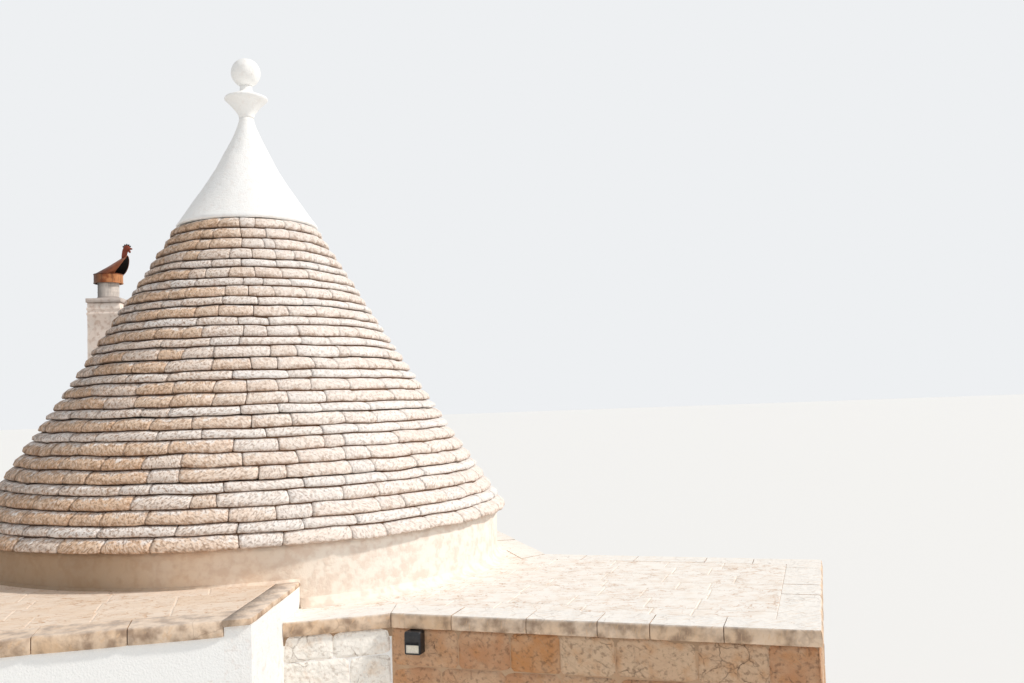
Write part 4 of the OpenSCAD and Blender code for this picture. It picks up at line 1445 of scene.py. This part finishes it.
def plates(name, outlines, z, material, rng, joint=0.008, height=0.005, chamfer=0.006):
    """Low plates with chamfered rims over a flat bed at z, each with a tone of its own."""
    bm = bmesh.new()
    tone = bm.verts.layers.float.new("tone")
    for outline in outlines:
        own = rng.random()
        lift = height - rng.uniform(0, 0.002)
        levels = ((joint / 2, z - 0.004), (joint / 2, z + lift * 0.3), (joint / 2 + chamfer, z + lift))
        rows = []
        for distance, level in levels:
            rows.append([bm.verts.new((x, y, level)) for x, y in inset(outline, distance)])
        for vert in sum(rows, []):
            vert[tone] = own
        skin(bm, rows)
    for face in bm.faces:
        face.smooth = False
    return as_object(name, bm, material)


def edge_run(outer, inner, z, paving, rng, thick=COPING_T):
    """Edge stones between an outer and an inner line, each a pair of points."""
    way = unit(*outer)
    inner_way = unit(*inner)
    first, last = ((x - outer[0][0]) * way[0] + (y - outer[0][1]) * way[1] for x, y in inner)
    half = 0.003
    cuts = split(0, math.dist(*outer), paving.edge, rng, 0.25)
    stones = []
    for s0, s1 in zip(cuts, cuts[1:]):
        low, high = z - thick, z + rng.uniform(0.002, 0.006)
        reach0 = first if s0 == cuts[0] else min(max(s0, first), last)
        reach1 = last if s1 == cuts[-1] else min(max(s1, first), last)
        fronts = []
        depths = []
        for s, reach, in_joint in ((s0, reach0, half), (s1, reach1, -half)):
            front = along(outer[0], way, s + in_joint)
            back = along(inner[0], inner_way, reach - first + in_joint)
            fronts.append(front)
            depths.append((back[0] - front[0], back[1] - front[1], 0))
        left, right = fronts
        corners = ((*left, low), (*right, low), (*right, high), (*left, high))
        stones.append(stone(*corners, *depths, tone=rng.random()))
    return stones


def edge_stones(spots, z, paving, rng):
    """Edge stones along a line of corners, each an outer and an inner point."""
    stones = []
    for (a, a_in), (b, b_in) in zip(spots, spots[1:]):
        stones += edge_run((a, b), (a_in, b_in), z, paving, rng)
    return stones


class TRULLO_OT_terraces(bpy.types.Operator):
    """Paves both terraces and lays their edge stones and the kerb"""

    bl_idname = "trullo.terraces"
    bl_label = "Pave the terraces"

    def execute(self, context):
        paving = context.scene.trullo_paving
        wall = context.scene.trullo_wall
        rng = random.Random(paving.seed)
        flag = paving_limestone(paving)
        edge = edge_limestone(paving)
        bare = edge_limestone(paving, washed=False)
        tan_flag = paving_limestone(paving, raised=True, name="Raised paving")
        paint("terrace_low", terrace_bed(wall, wall.mortar))
        paint("terrace_high", terrace_bed(wall, wall.limewash))
        points = list(OUTLINE.values())
        outer = dict(zip(OUTLINE, inset(points, -COPING_OUT)))
        inner = dict(zip(OUTLINE, inset(points, COPING_W - COPING_OUT)))
        rim = DRUM_R + 0.004
        flat = (1, 0)

        # The lower terrace's edge starts where the riser's line meets it
        spots = [tuple(meet(STEP_FOOT, STEP_WAY, line["wing_start"], flat) for line in (outer, inner))]
        for corner in ("wing_start", "wing_tip", "wing_heel", "wing_root", "back_right"):
            spots.append((outer[corner], inner[corner]))
        spots.append(((0.0, outer["back_right"][1]), (0.0, inner["back_right"][1])))
        low_area = [spot_in for _, spot_in in spots]
        sizes = {"Rounding": 0.008, "Top rounding": 0.014, "Roughness": 0.004, "Lump size": 0.09}
        made = set_stones("edge_stones_low", edge_stones(spots, LOW_Z, paving, rng), edge, sizes)
        made.data.set_sharp_from_angle(angle=math.radians(50))
        dress(made, "house", "paving_stone", "coping_low")

        # The upper terrace's edge ends at the kerb, whose inner line runs beside the riser
        across = (-STEP_WAY[1], STEP_WAY[0])
        beside = along(STEP_FOOT, across, -KERB_W)
        kerb_x = -KERB_W
        back_outer = (kerb_x, outer["back_left"][1])
        back_inner = (kerb_x, inner["back_left"][1])
        kerb_outer, kerb_inner = (meet(beside, STEP_WAY, line["front_left"], flat) for line in (outer, inner))
        spots = [(back_outer, back_inner)]
        for corner in ("back_left", "front_left"):
            spots.append((outer[corner], inner[corner]))
        spots.append((kerb_outer, kerb_inner))
        made = set_stones("edge_stones_high", edge_stones(spots, HIGH_Z, paving, rng), bare, sizes)
        made.data.set_sharp_from_angle(angle=math.radians(50))
        dress(made, "house", "paving_stone", "coping_high")

        # Paving inside the edge stones, up to the drum
        step_angle = circle_angle(STEP_FOOT, STEP_WAY, rim)
        low_area += arc(90, step_angle, rim, 60)
        cells = paving_cells(low_area, paving.row, paving.slab, math.radians(-WING_A), rng)
        dress(plates("paving_low", cells, LOW_Z, flag, rng), "house", "paving_stone")
        kerb_angle = circle_angle(beside, STEP_WAY, rim)
        back_angle = math.degrees(math.acos(kerb_x / rim)) - 360
        high_area = [inner["front_left"], kerb_inner, *arc(kerb_angle, back_angle, rim, 90)]
        high_area += [back_inner, inner["back_left"]]
        cells = paving_cells(high_area, paving.row, paving.slab, 0.0, rng)
        dress(plates("paving_high", cells, HIGH_Z, tan_flag, rng), "house", "paving_stone")

        # Slabs along the step, over a white riser, in front of the drum and behind it
        slab_t = 0.036
        over = 0.012
        drum_side = circle_point(kerb_angle, rim)
        side_y = math.sqrt(rim**2 - kerb_x**2)
        lip = along(STEP_FOOT, across, over)
        front = meet(lip, STEP_WAY, outer["front_left"], flat)
        drum_lip = circle_point(circle_angle(lip, STEP_WAY, rim), rim)
        stones = edge_run((front, drum_lip), (kerb_outer, drum_side), HIGH_Z, paving, rng, slab_t)
        front_line = ((over, math.sqrt(rim**2 - over**2)), (over, back_outer[1]))
        stones += edge_run(front_line, ((kerb_x, side_y), back_outer), HIGH_Z, paving, rng, slab_t)
        thin = {"Rounding": 0.007, "Top rounding": 0.007, "Roughness": 0.002, "Lump size": 0.09}
        slabs = set_stones("kerb_slabs", stones, bare, thin)
        front_strip = [STEP_END, circle_point(step_angle, rim), drum_side]
        front_strip.append(meet(beside, STEP_WAY, STEP_END, flat))
        back_strip = [(0, BACK_Y), (kerb_x, BACK_Y), (kerb_x, side_y), (0, rim)]
        bm = bmesh.new()
        for strip in (front_strip, back_strip):
            kerb_solid(bm, strip, HIGH_Z - slab_t + 0.002)
        riser = solid("kerb_coat", bm, limewash(wall, "Kerb limewash", 0.08), smooth=False)
        dress(join("step_kerb", [riser, slabs]), "house", "limewash", "terrace_kerb")
        return {"FINISHED"}


def kerb_solid(bm, strip, top):
    """A long block over a strip, cut across into short lengths, with a rounded top edge."""
    steps = 24
    left = [Vector(strip[0]).lerp(Vector(strip[1]), i / steps) for i in range(steps + 1)]
    right = [Vector(strip[3]).lerp(Vector(strip[2]), i / steps) for i in range(steps + 1)]
    soft = 0.008
    rows = []
    for i, (a, b) in enumerate(zip(left, right)):
        ease = soft / (a - b).length
        lift = 0.004 * noise.noise(Vector((a.x * 3, a.y * 3, 0)))
        section = [
            (a, WALL_TOP_Z),
            (a.lerp(b, -0.4 * lift), WALL_TOP_Z + 0.3 * (top - WALL_TOP_Z)),
            (a, top - soft),
            (a.lerp(b, ease), top),
            (b, top),
            (b, WALL_TOP_Z),
        ]
        rows.append([bm.verts.new((p.x, p.y, z)) for p, z in section])
    skin(bm, rows)


# Chimney, cowl and rooster


def rounded(half_x, half_y, soft, side=3):
    """A rectangle with round corners about the origin, as flat points that run anticlockwise."""
    corners = []
    for quarter, (sx, sy) in enumerate(((1, 1), (-1, 1), (-1, -1), (1, -1))):
        for i in range(5):
            angle = math.radians(90 * quarter + 22.5 * i)
            x = sx * (half_x - soft) + soft * math.cos(angle)
            y = sy * (half_y - soft) + soft * math.sin(angle)
            corners.append((x, y))
    points = []
    for i, (a, b) in enumerate(zip(corners, corners[1:] + corners[:1])):
        points.append(a)
        if i % 5 == 4:
            points += [tuple(Vector(a).lerp(Vector(b), j / (side + 1))) for j in range(1, side + 1)]
    return points


def bore(points, radius):
    """Flat points on a circle, in the same directions as the given ones."""
    return [tuple(Vector(point).normalized() * radius) for point in points]


def on_flue(points, z, turn=0.0):
    """Flat points round the flue's axis, turned clockwise by degrees, at one height."""
    c = math.cos(math.radians(turn))
    s = math.sin(math.radians(turn))
    return [(FLUE[0] + x * c + y * s, FLUE[1] - x * s + y * c, z) for x, y in points]


def bead(radius, z, thick, centre, count=96):
    """A round ring, such as a bead or a rolled hem."""
    turns = [2 * math.pi * i / 8 for i in range(8)]
    return hoop([(radius + thick * math.cos(t), z + thick * math.sin(t)) for t in turns], count, centre)


def bar(bm, low, high, soft, matrix):
    """Adds a box between two corners, with its edges rounded off, in the axes of a matrix."""
    part = bmesh.new()
    bmesh.ops.create_cube(part, size=1)
    size = Vector(high) - Vector(low)
    for vert in part.verts:
        vert.co = Vector(low) + Vector([(c + 0.5) * s for c, s in zip(vert.co, size)])
    bmesh.ops.bevel(part, geom=part.edges[:], offset=soft, segments=2, affect="EDGES", profile=0.7)
    part.transform(matrix)
    merge(bm, part)


def tube(path, radius, sides=8):
    """A round rod along open points, with flat ends."""
    rings = []
    side = None
    for i, spot in enumerate(path):
        way = (path[min(i + 1, len(path) - 1)] - path[max(i - 1, 0)]).normalized()
        side = (side - way * side.dot(way) if side else way.orthogonal()).normalized()
        other = way.cross(side)
        turns = [2 * math.pi * j / sides for j in range(sides)]
        rings.append([spot + (side * math.cos(t) + other * math.sin(t)) * radius for t in turns])
    return loft(rings)


class TRULLO_OT_chimney(bpy.types.Operator):
    """Plasters the stack, lays its top slab and trims the pipe"""

    bl_idname = "trullo.chimney"
    bl_label = "Build the chimney"

    def execute(self, context):
        wall = context.scene.trullo_wall
        metal = context.scene.trullo_metal
        half = STACK_W / 2
        cap_low = STACK_TOP - STACK_CAP_T
        ledge_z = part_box("flue_pipe")[0].z
        hole = PIPE_R + 0.001
        narrow = PIPE_R - PIPE_LEDGE
        rows = [(half, HIGH_Z + 0.11 * i) for i in range(22)]
        for i in (2, 1):
            z = cap_low - MOULDING_H - i * MOULDING_GAP
            out = half + MOULDING_OUT
            rows += [(half, z - 0.003), (out - 0.002, z + 0.004), (out, z + 0.011)]
            rows += [(out, z + MOULDING_H - 0.011), (out - 0.002, z + MOULDING_H - 0.004)]
            rows.append((half, z + MOULDING_H + 0.003))
        rows.append((half, cap_low))
        rows = [row for row in sorted(rows, key=lambda row: row[1]) if row[1] <= cap_low]
        rings = [on_flue(rounded(w - 0.0015, w - 0.0015, 0.008), z, STACK_A) for w, z in rows]
        flat = rounded(half, half, 0.02)
        for radius, z in ((hole, cap_low), (hole, ledge_z), (narrow, ledge_z), (narrow, HIGH_Z + FLUE_FOOT)):
            rings.append(on_flue(bore(flat, radius), z, STACK_A))
        bm = loft(rings)
        face = [v for v in bm.verts if math.dist(v.co.xy, FLUE) > half - 0.03]
        lumps(bm, 0.22, 0.006, 5.0, face, outward=False)
        lumps(bm, 0.05, 0.002, 6.0, face, outward=False)
        stained = stack_plaster(wall)
        dress(solid("stack_plaster", bm, stained), "house", "lime_plaster", "chimney_stack")

        wide = half + CAP_OUT
        section = [(wide - 0.002, cap_low), (wide, cap_low + 0.003), (wide, STACK_TOP - 0.004)]
        section += [(wide - 0.004, STACK_TOP)]
        rings = [on_flue(rounded(w, w, 0.006), z, STACK_A) for w, z in section]
        rings += [on_flue(bore(flat, hole), z, STACK_A) for z in (STACK_TOP, cap_low)]
        bm = loft(rings + rings[:1], closed=False)
        edges = [v for v in bm.verts if math.dist(v.co.xy, FLUE) > half - 0.03]
        lumps(bm, 0.07, 0.002, 7.0, edges, outward=False)
        dress(solid("stack_slab", bm, stained), "house", "paving_stone", "chimney_cap")

        z = STACK_TOP
        fillet = [(PIPE_R - 0.002, z - 0.002), (PIPE_R + 0.03, z - 0.002), (PIPE_R + 0.026, z + 0.006)]
        fillet += [(PIPE_R + 0.008, z + 0.014), (PIPE_R, z + 0.03), (PIPE_R - 0.002, z + 0.03)]
        bm = hoop(fillet, 96, FLUE)
        outer = [v for v in bm.verts if math.dist(v.co.xy, FLUE) > PIPE_R + 0.005]
        lumps(bm, 0.03, 0.002, 8.0, outer)
        dress(solid("pipe_fillet", bm, stained), "house", "lime_plaster")

        zinc = weathered_zinc(metal)
        paint("flue_pipe", zinc)
        trims = []
        for i, z in enumerate((STACK_TOP + 0.085, STACK_TOP + 0.155)):
            trims.append(solid(f"bead_{i}", bead(PIPE_R, z, 0.003, FLUE), zinc))
        bm = bmesh.new()
        seam = Matrix.Translation((*FLUE, 0)) @ Matrix.Rotation(math.radians(-150), 4, "Z")
        bar(bm, (PIPE_R - 0.002, -0.007, z - 0.12), (PIPE_R + 0.0025, 0.007, PIPE_TOP - 0.002), 0.001, seam)
        trims.append(solid("seam", bm, zinc))
        dress(join("pipe_trims", trims), "house", "zinc_steel")
        return {"FINISHED"}


def mouth_rim(count):
    """The edge of the hood's mouth, from the ring's near side over the peak to its far side."""
    foot = Vector((0.110, 0.127, 0))
    peak = Vector((PEAK_X + 0.027, 0, PEAK_H))
    pulls = (Vector((0.185, 0.175, 0.05)), Vector((0.245, 0.075, 0.215)))
    far = interpolate_bezier(foot, *pulls, peak, count)
    return [Vector((x, -y, z)) for x, y, z in far[:-1]] + list(reversed(far))


def hood_sheet(rim, brown, soot):
    """A sheet drawn from the back of the ring to the mouth's rim, sooty inside."""
    edge = math.atan2(rim[0].y, rim[0].x)
    bm = bmesh.new()
    steps = 16
    columns = []
    for i, high in enumerate(rim):
        turn = edge + (-2 * math.pi - 2 * edge) * i / (len(rim) - 1)
        low = Vector((COWL_R * math.cos(turn), COWL_R * math.sin(turn), 0))
        columns.append([bm.verts.new(low.lerp(high, j / steps)) for j in range(steps + 1)])
    for a, b in zip(columns, columns[1:]):
        for j in range(steps):
            bm.faces.new((a[j], b[j], b[j + 1], a[j + 1]))
    bmesh.ops.remove_doubles(bm, verts=bm.verts, dist=1e-5)
    bmesh.ops.recalc_face_normals(bm, faces=bm.faces)
    bmesh.ops.solidify(bm, geom=bm.faces[:], thickness=SHEET_T)
    made = solid("hood_sheet", bm, brown)
    made.data.materials.append(soot)
    middle = Vector((0.04, 0, 0.05))
    for face in made.data.polygons:
        face.material_index = int(face.normal.dot(face.center - middle) < 0)
    made.data.set_sharp_from_angle(angle=math.radians(30))
    return made


class TRULLO_OT_cowl(bpy.types.Operator):
    """Shapes the hood, its hems and the rooster that turn with the wind"""

    bl_idname = "trullo.cowl"
    bl_label = "Shape the cowl"

    def execute(self, context):
        metal = context.scene.trullo_metal
        place = Matrix.Translation((*FLUE, HOOD_Z)) @ Matrix.Rotation(math.radians(-COWL_TURN), 4, "Z")
        # The hood, band and rooster carry painted light on the right of the flue and painted shade on the
        # left
        brown = sheet_copper("Old copper hood", metal.copper_hood, metal.copper, metal.copper_dark)
        warm = sheet_copper("Rubbed copper band with painted light", metal.copper, metal.copper_bright, metal.copper_dark)
        soot = plain_finish("Soot", linear("#120d0b"), linear("#251b16"), 0.9, 0.002, 0.01)
        paint("cowl_ring", warm)

        rim = mouth_rim(32)
        hood = hood_sheet(rim, brown, soot)
        hem = solid("hem", tube(rim, 0.005), brown)
        foot = solid("foot_hem", bead(COWL_R, 0.0, 0.0055, (0, 0)), brown)
        ridge = [Vector((-COWL_R + 0.004, 0, 0.004)), Vector((PEAK_X + 0.02, 0, PEAK_H))]
        seam = solid("ridge_seam", tube(ridge, 0.004), brown)
        hood = join("hood_sheet", [hood, hem, foot, seam])
        hood.data.transform(place)
        dress(hood, "cowl", "weathered_copper", "cowl_hood")

        low = solid("band_hem", bead(COWL_R, BAND_Z + 0.006, 0.0055, FLUE), warm)
        bm = bmesh.new()
        rivet = Matrix.Translation((*FLUE, 0)) @ Matrix.Rotation(math.radians(-120), 4, "Z")
        for z in (BAND_Z + 0.03, BAND_Z + 0.056, BAND_Z + 0.082):
            spot = rivet @ Matrix.Translation((COWL_R, 0, z)) @ Matrix.Diagonal((0.5, 1, 1, 1))
            bmesh.ops.create_uvsphere(bm, u_segments=12, v_segments=8, radius=0.005, matrix=spot)
        dress(join("band_hems", [low, solid("rivets", bm, warm)]), "cowl", "weathered_copper")

        self.rooster(metal, place)
        return {"FINISHED"}

    def rooster(self, metal, place):
        """The rooster's neck, head, beak and wattle, and its blackened comb."""
        foot = Vector((PEAK_X - 0.14 * HEAD_H, 0, PEAK_H - 0.2 * HEAD_H))
        head_r = 0.21 * HEAD_H
        head = foot + Vector((0.25, 0, 0.64)) * HEAD_H
        red = sheet_copper("Painted rooster", metal.rooster, linear("#8a402a"), metal.copper_dark)
        dark = plain_finish("Blackened comb", metal.comb, linear("#3a241c"), 0.6, 0.001, 0.01)
        rows = ((0.02, 0.06, 0.14), (0.20, 0.09, 0.165), (0.32, 0.115, 0.175), (0.45, 0.145, 0.185))
        rows += ((0.58, 0.18, 0.19), (0.68, 0.21, 0.17))
        rings = []
        for z, x, wide in rows:
            thick = 0.009 + 0.006 * z
            ring = []
            for px, py, _ in circle(1, 0, 24):
                ring.append(foot + Vector((x * HEAD_H + px * wide * HEAD_H, py * thick, z * HEAD_H)))
            rings.append(ring)
        parts = [solid("neck", loft(rings), red)]

        def blob(name, spot, radii, material, turn=0.0):
            bm = bmesh.new()
            matrix = Matrix.Translation(spot) @ Matrix.Rotation(turn, 4, "Y") @ Matrix.Diagonal((*radii, 1))
            bmesh.ops.create_uvsphere(bm, u_segments=20, v_segments=12, radius=1, matrix=matrix)
            parts.append(solid(name, bm, material))

        blob("head", head, (head_r, 0.017, head_r), red)
        beak = head + Vector((0.9, 0, -0.1)) * head_r
        blob("beak", beak, (0.8 * head_r, 0.009, 0.32 * head_r), red, math.radians(8))
        wattle = head + Vector((0.78, 0, -0.85)) * head_r
        blob("wattle", wattle, (0.36 * head_r, 0.007, 0.55 * head_r), red, -0.45)
        for side in (-1, 1):
            eye = head + Vector((0.25 * head_r, side * 0.016, 0.15 * head_r))
            blob("eye", eye, (0.004, 0.003, 0.004), dark)
        for i in range(5):
            turn = math.radians(150 - 30 * i)
            spot = head + Vector((math.cos(turn), 0, math.sin(turn))) * head_r
            blob("lobe", spot, (0.42 * head_r, 0.006, 0.27 * head_r), dark, -turn)
        made = join("rooster_figure", parts)
        made.data.transform(place)
        dress(made, "cowl", "weathered_copper", "rooster_head")


# Lamp, doors and windows


class TRULLO_OT_lamp(bpy.types.Operator):
    """Fits the black lamp on the wing's wall"""

    bl_idname = "trullo.lamp"
    bl_label = "Fit the lamp"

    def execute(self, context):
        metal = context.scene.trullo_metal
        black = plain_finish("Black enamel", metal.black, linear("#26272c"), 0.42, 0.0006, 0.02)
        glass = plain_finish("Lamp glass", linear("#e9e2d2"), linear("#d2c8b4"), 0.25, 0.0006, 0.008)
        paint("lamp_lens", glass)
        wide, tall = LAMP_W / 2, LAMP_H / 2
        middle = LAMP_Z + tall
        lens_w, lens_h = wide - LAMP_RIM, LENS_H / 2
        lens_z = LAMP_RIM + lens_h - tall
        housing = (
            (wide, tall, 0.014, 0.0, 0.0),
            (wide, tall, 0.014, LAMP_D - 0.012, 0.0),
            (wide - 0.003, tall - 0.003, 0.013, LAMP_D - 0.004, 0.0),
            (wide - 0.008, tall - 0.008, 0.010, LAMP_D - 0.002, 0.0),
            (lens_w, lens_h, 0.004, LAMP_D - 0.002, lens_z),
            (lens_w, lens_h, 0.004, LAMP_D - 0.009, lens_z),
        )
        trim = (
            (lens_w + 0.006, lens_h + 0.006, 0.006, LAMP_D - 0.003, lens_z),
            (lens_w + 0.006, lens_h + 0.006, 0.006, LAMP_D, lens_z),
            (lens_w - 0.001, lens_h - 0.001, 0.003, LAMP_D, lens_z),
            (lens_w - 0.001, lens_h - 0.001, 0.003, LAMP_D - 0.007, lens_z),
        )
        parts = []
        for name, rows in (("housing", housing), ("trim", trim)):
            rings = []
            for half_x, half_z, soft, out, rise in rows:
                flat = rounded(half_x, half_z, soft)
                rings.append([(*wing_point(LAMP_U + x, -out), middle + rise + z) for x, z in flat])
            bm = loft(rings) if name == "housing" else loft(rings + rings[:1], closed=False)
            parts.append(solid(name, bm, black))
        bm = bmesh.new()
        for side in (-1, 1):
            for rise in (1, 0.55):
                spot = wing_point(LAMP_U + side * (lens_w + 0.001), -LAMP_D + 0.003)
                spot = Matrix.Translation((*spot, middle + rise * (tall - 0.014)))
                bmesh.ops.create_uvsphere(bm, u_segments=10, v_segments=6, radius=0.0035, matrix=spot)
        parts.append(solid("screws", bm, black))
        dress(join("lamp_housing", parts), "house", "lamp_black", "lamp_body")
        return {"FINISHED"}


def leaf(wood, iron, matrix, width, height):
    """A ledged leaf: boards, three ledges, strap hinges and a ring. Its ledges look towards +Y."""
    count = round(width / 0.15)
    for i in range(count):
        low = (width * i / count + 0.001, 0, 0)
        bar(wood, low, (width * (i + 1) / count - 0.001, LEAF_T - 0.016, height), 0.003, matrix)
    for share in (0.14, 0.5, 0.84):
        z = height * share
        bar(wood, (0.02, LEAF_T - 0.018, z), (width - 0.02, LEAF_T, z + 0.12), 0.004, matrix)
        bar(iron, (0.01, LEAF_T - 0.017, z + 0.14), (width * 0.8, LEAF_T - 0.012, z + 0.175), 0.0015, matrix)
        for i in range(4):
            spot = matrix @ Matrix.Translation((0.06 + width * 0.19 * i, LEAF_T - 0.012, z + 0.1575))
            bmesh.ops.create_uvsphere(iron, u_segments=10, v_segments=6, radius=0.006, matrix=spot)
    ring = []
    for i in range(11):
        turn = math.radians(100 + 34 * i)
        x, z = width - 0.07 + 0.03 * math.cos(turn), height * 0.46 + 0.03 * math.sin(turn)
        ring.append(matrix @ Vector((x, LEAF_T - 0.008, z)))
    merge(iron, tube(ring, 0.004))


class TRULLO_OT_openings(bpy.types.Operator):
    """Hangs the boarded door leaves and lays the window sills"""

    bl_idname = "trullo.openings"
    bl_label = "Fit doors and windows"

    def execute(self, context):
        wood = chestnut()
        iron = plain_finish("Wrought iron", linear("#2a2724"), linear("#4a342a"), 0.55, 0.001, 0.012)
        boards = bmesh.new()
        straps = bmesh.new()
        foot = FLOOR_Z + LEAF_PLAY
        entrance = Matrix.Translation((LEFT_X + LEAF_IN, -DOOR_W / 2, foot))
        leaf(boards, straps, entrance, DOOR_W - LEAF_PLAY, DOOR_TOP - FLOOR_Z - 2 * LEAF_PLAY)
        turn = math.radians(WING_A)
        into = Vector((math.sin(turn), math.cos(turn), 0))
        aside = Vector((math.cos(turn), -math.sin(turn), 0))
        store = Matrix((into, aside, (0, 0, 1))).transposed().to_4x4()
        store.translation = (*wing_point(STORE_U - LEAF_T, WING_T + 0.0003), foot)
        leaf(boards, straps, store, STORE_W - LEAF_PLAY, STORE_TOP - FLOOR_Z - 2 * LEAF_PLAY)
        parts = [solid("boards", boards, wood, smooth=False), solid("straps", straps, iron)]
        dress(join("boarded_leaves", parts), "house", "door_wood", "door_leaves")
        paint("window_frames", wood)
        paint("window_panes", window_glass())

        bm = bmesh.new()
        back = Matrix.Translation((0, BACK_Y, SILL_Z))
        right = Matrix.Translation((RIGHT_X, WIN_Y, SILL_Z)) @ Matrix.Rotation(math.radians(-90), 4, "Z")
        reach = WIN_W / 2 + SILL_EARS + 0.002
        for side in (back, right):
            low = (-reach, -0.03, -SILL_FALL - SILL_T - 0.002)
            bar(bm, low, (reach, SILL_OUT + 0.002, -SILL_FALL - 0.001), 0.007, side)
        sill = edge_limestone(context.scene.trullo_paving, washed=False)
        dress(solid("sill_stones", bm, sill, smooth=False), "house", "block_stone")
        return {"FINISHED"}


class TRULLO_OT_inside(bpy.types.Operator):
    """Finishes the floors, the vaults and the masonry that no piece covers"""

    bl_idname = "trullo.inside"
    bl_label = "Finish the inside"

    def execute(self, context):
        wall = context.scene.trullo_wall
        paving = context.scene.trullo_paving
        roof = context.scene.trullo_roof
        vault = vault_limestone(wall)
        for node in ("vault_lower", "vault_upper", "vault_keystone"):
            paint(node, vault)
        paint("lintels", limewash(wall, "Lintel limewash", 0.1))
        paint("floors", paving_limestone(paving, raised=True, name="Floor slabs"))
        paint("roof_core", bedding_earth(roof))
        return {"FINISHED"}


class TRULLO_OT_stage(bpy.types.Operator):
    """Sets the camera, the lights and the floor"""

    bl_idname = "trullo.stage"
    bl_label = "Set the stage"

    def execute(self, context):
        stage = context.scene.trullo_stage
        scene = context.scene
        scene.view_settings.view_transform = "Standard"

        level = math.cos(stage.pitch)
        forward = (math.sin(stage.yaw) * level, math.cos(stage.yaw) * level, math.sin(stage.pitch))
        forward = Vector(forward)
        right = Vector((math.cos(stage.yaw), -math.sin(stage.yaw), 0))
        up = right.cross(forward)
        x = right * math.cos(stage.roll) + up * math.sin(stage.roll)
        y = -right * math.sin(stage.roll) + up * math.cos(stage.roll)
        camera = new_object("Camera", bpy.data.cameras.new("Camera"))
        camera.data.lens = stage.lens
        camera.data.sensor_width = 36
        camera.matrix_world = Matrix((x, y, -forward)).transposed().to_4x4()
        camera.location = (0, stage.eye_y, stage.eye_z)
        scene.camera = camera

        # A soft key from the right, as high as the sun stands in the photograph, and a broad, faint
        # light from the camera's side that keeps the fronts from going grey
        away = Vector((math.cos(stage.sun_side), -math.sin(stage.sun_side), 0))
        towards = away * math.cos(stage.sun_height) + Vector((0, 0, math.sin(stage.sun_height)))
        key_turn = towards.to_track_quat("Z", "Y").to_euler()
        front_turn = (math.radians(62), 0, math.radians(-8))
        for name, energy, spread, shade, turn in (
            ("Key", stage.key, 4, (1.0, 0.965, 0.92), key_turn),
            ("Front", stage.front, 80, (1.0, 1.0, 1.0), front_turn),
        ):
            light = bpy.data.lights.new(name, "SUN")
            light.energy = energy
            light.angle = math.radians(spread)
            light.color = shade
            new_object(name, light).rotation_euler = turn

        world = bpy.data.worlds.new("Studio")
        world.use_nodes = True
        tree = world.node_tree
        tree.nodes.clear()
        path = add(tree, "ShaderNodeLightPath").node.outputs
        seen = add(tree, MATH, (path["Is Camera Ray"], path["Is Glossy Ray"]), operation="MAXIMUM")
        seen = add(tree, MATH, (seen, path["Is Transmission Ray"]), operation="MAXIMUM")
        lit = add(tree, "ShaderNodeBackground", {"Color": linear("#eef2f8"), "Strength": stage.fill})
        plain = add(tree, "ShaderNodeBackground", {"Color": linear("#eef0f2"), "Strength": 1.0})
        both = add(tree, "ShaderNodeMixShader", (seen, lit, plain))
        add(tree, "ShaderNodeOutputWorld", {"Surface": both})
        scene.world = world

        pale = finished(new_material("Studio floor")[0], stage.floor, 0.9)
        bm = bmesh.new()
        bmesh.ops.create_grid(bm, x_segments=1, y_segments=1, size=300)
        floor = solid("studio_floor", bm, pale, smooth=False)
        floor.data.transform(Matrix.Translation((0, 0, -0.002)))
        return {"FINISHED"}


class TRULLO_PT_panel(bpy.types.Panel):
    """Lists the steps and the settings"""

    bl_idname = "TRULLO_PT_panel"
    bl_label = "Trullo house"
    bl_space_type = "VIEW_3D"
    bl_region_type = "UI"
    bl_category = "Trullo"

    def draw(self, context):
        for step in STEPS:
            self.layout.operator(step.bl_idname)
        for group, kind in GROUPS.items():
            box = self.layout.box()
            box.label(text=kind.__doc__)
            for name in kind.__annotations__:
                box.prop(getattr(context.scene, group), name)


STEPS = (
    TRULLO_OT_roof_slabs,
    TRULLO_OT_pinnacle,
    TRULLO_OT_drum,
    TRULLO_OT_walls,
    TRULLO_OT_terraces,
    TRULLO_OT_chimney,
    TRULLO_OT_cowl,
    TRULLO_OT_lamp,
    TRULLO_OT_openings,
    TRULLO_OT_inside,
    TRULLO_OT_stage,
)


def register():
    for kind in (*GROUPS.values(), *STEPS, TRULLO_PT_panel):
        bpy.utils.register_class(kind)
    for name, kind in GROUPS.items():
        setattr(bpy.types.Scene, name, PointerProperty(type=kind))


def unregister():
    for name in GROUPS:
        delattr(bpy.types.Scene, name)
    for kind in reversed((*GROUPS.values(), *STEPS, TRULLO_PT_panel)):
        bpy.utils.unregister_class(kind)


def main():
    register()
    for step in STEPS:
        area, name = step.bl_idname.split(".")
        getattr(getattr(bpy.ops, area), name)()
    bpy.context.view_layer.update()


if __name__ == "__main__":
    main()
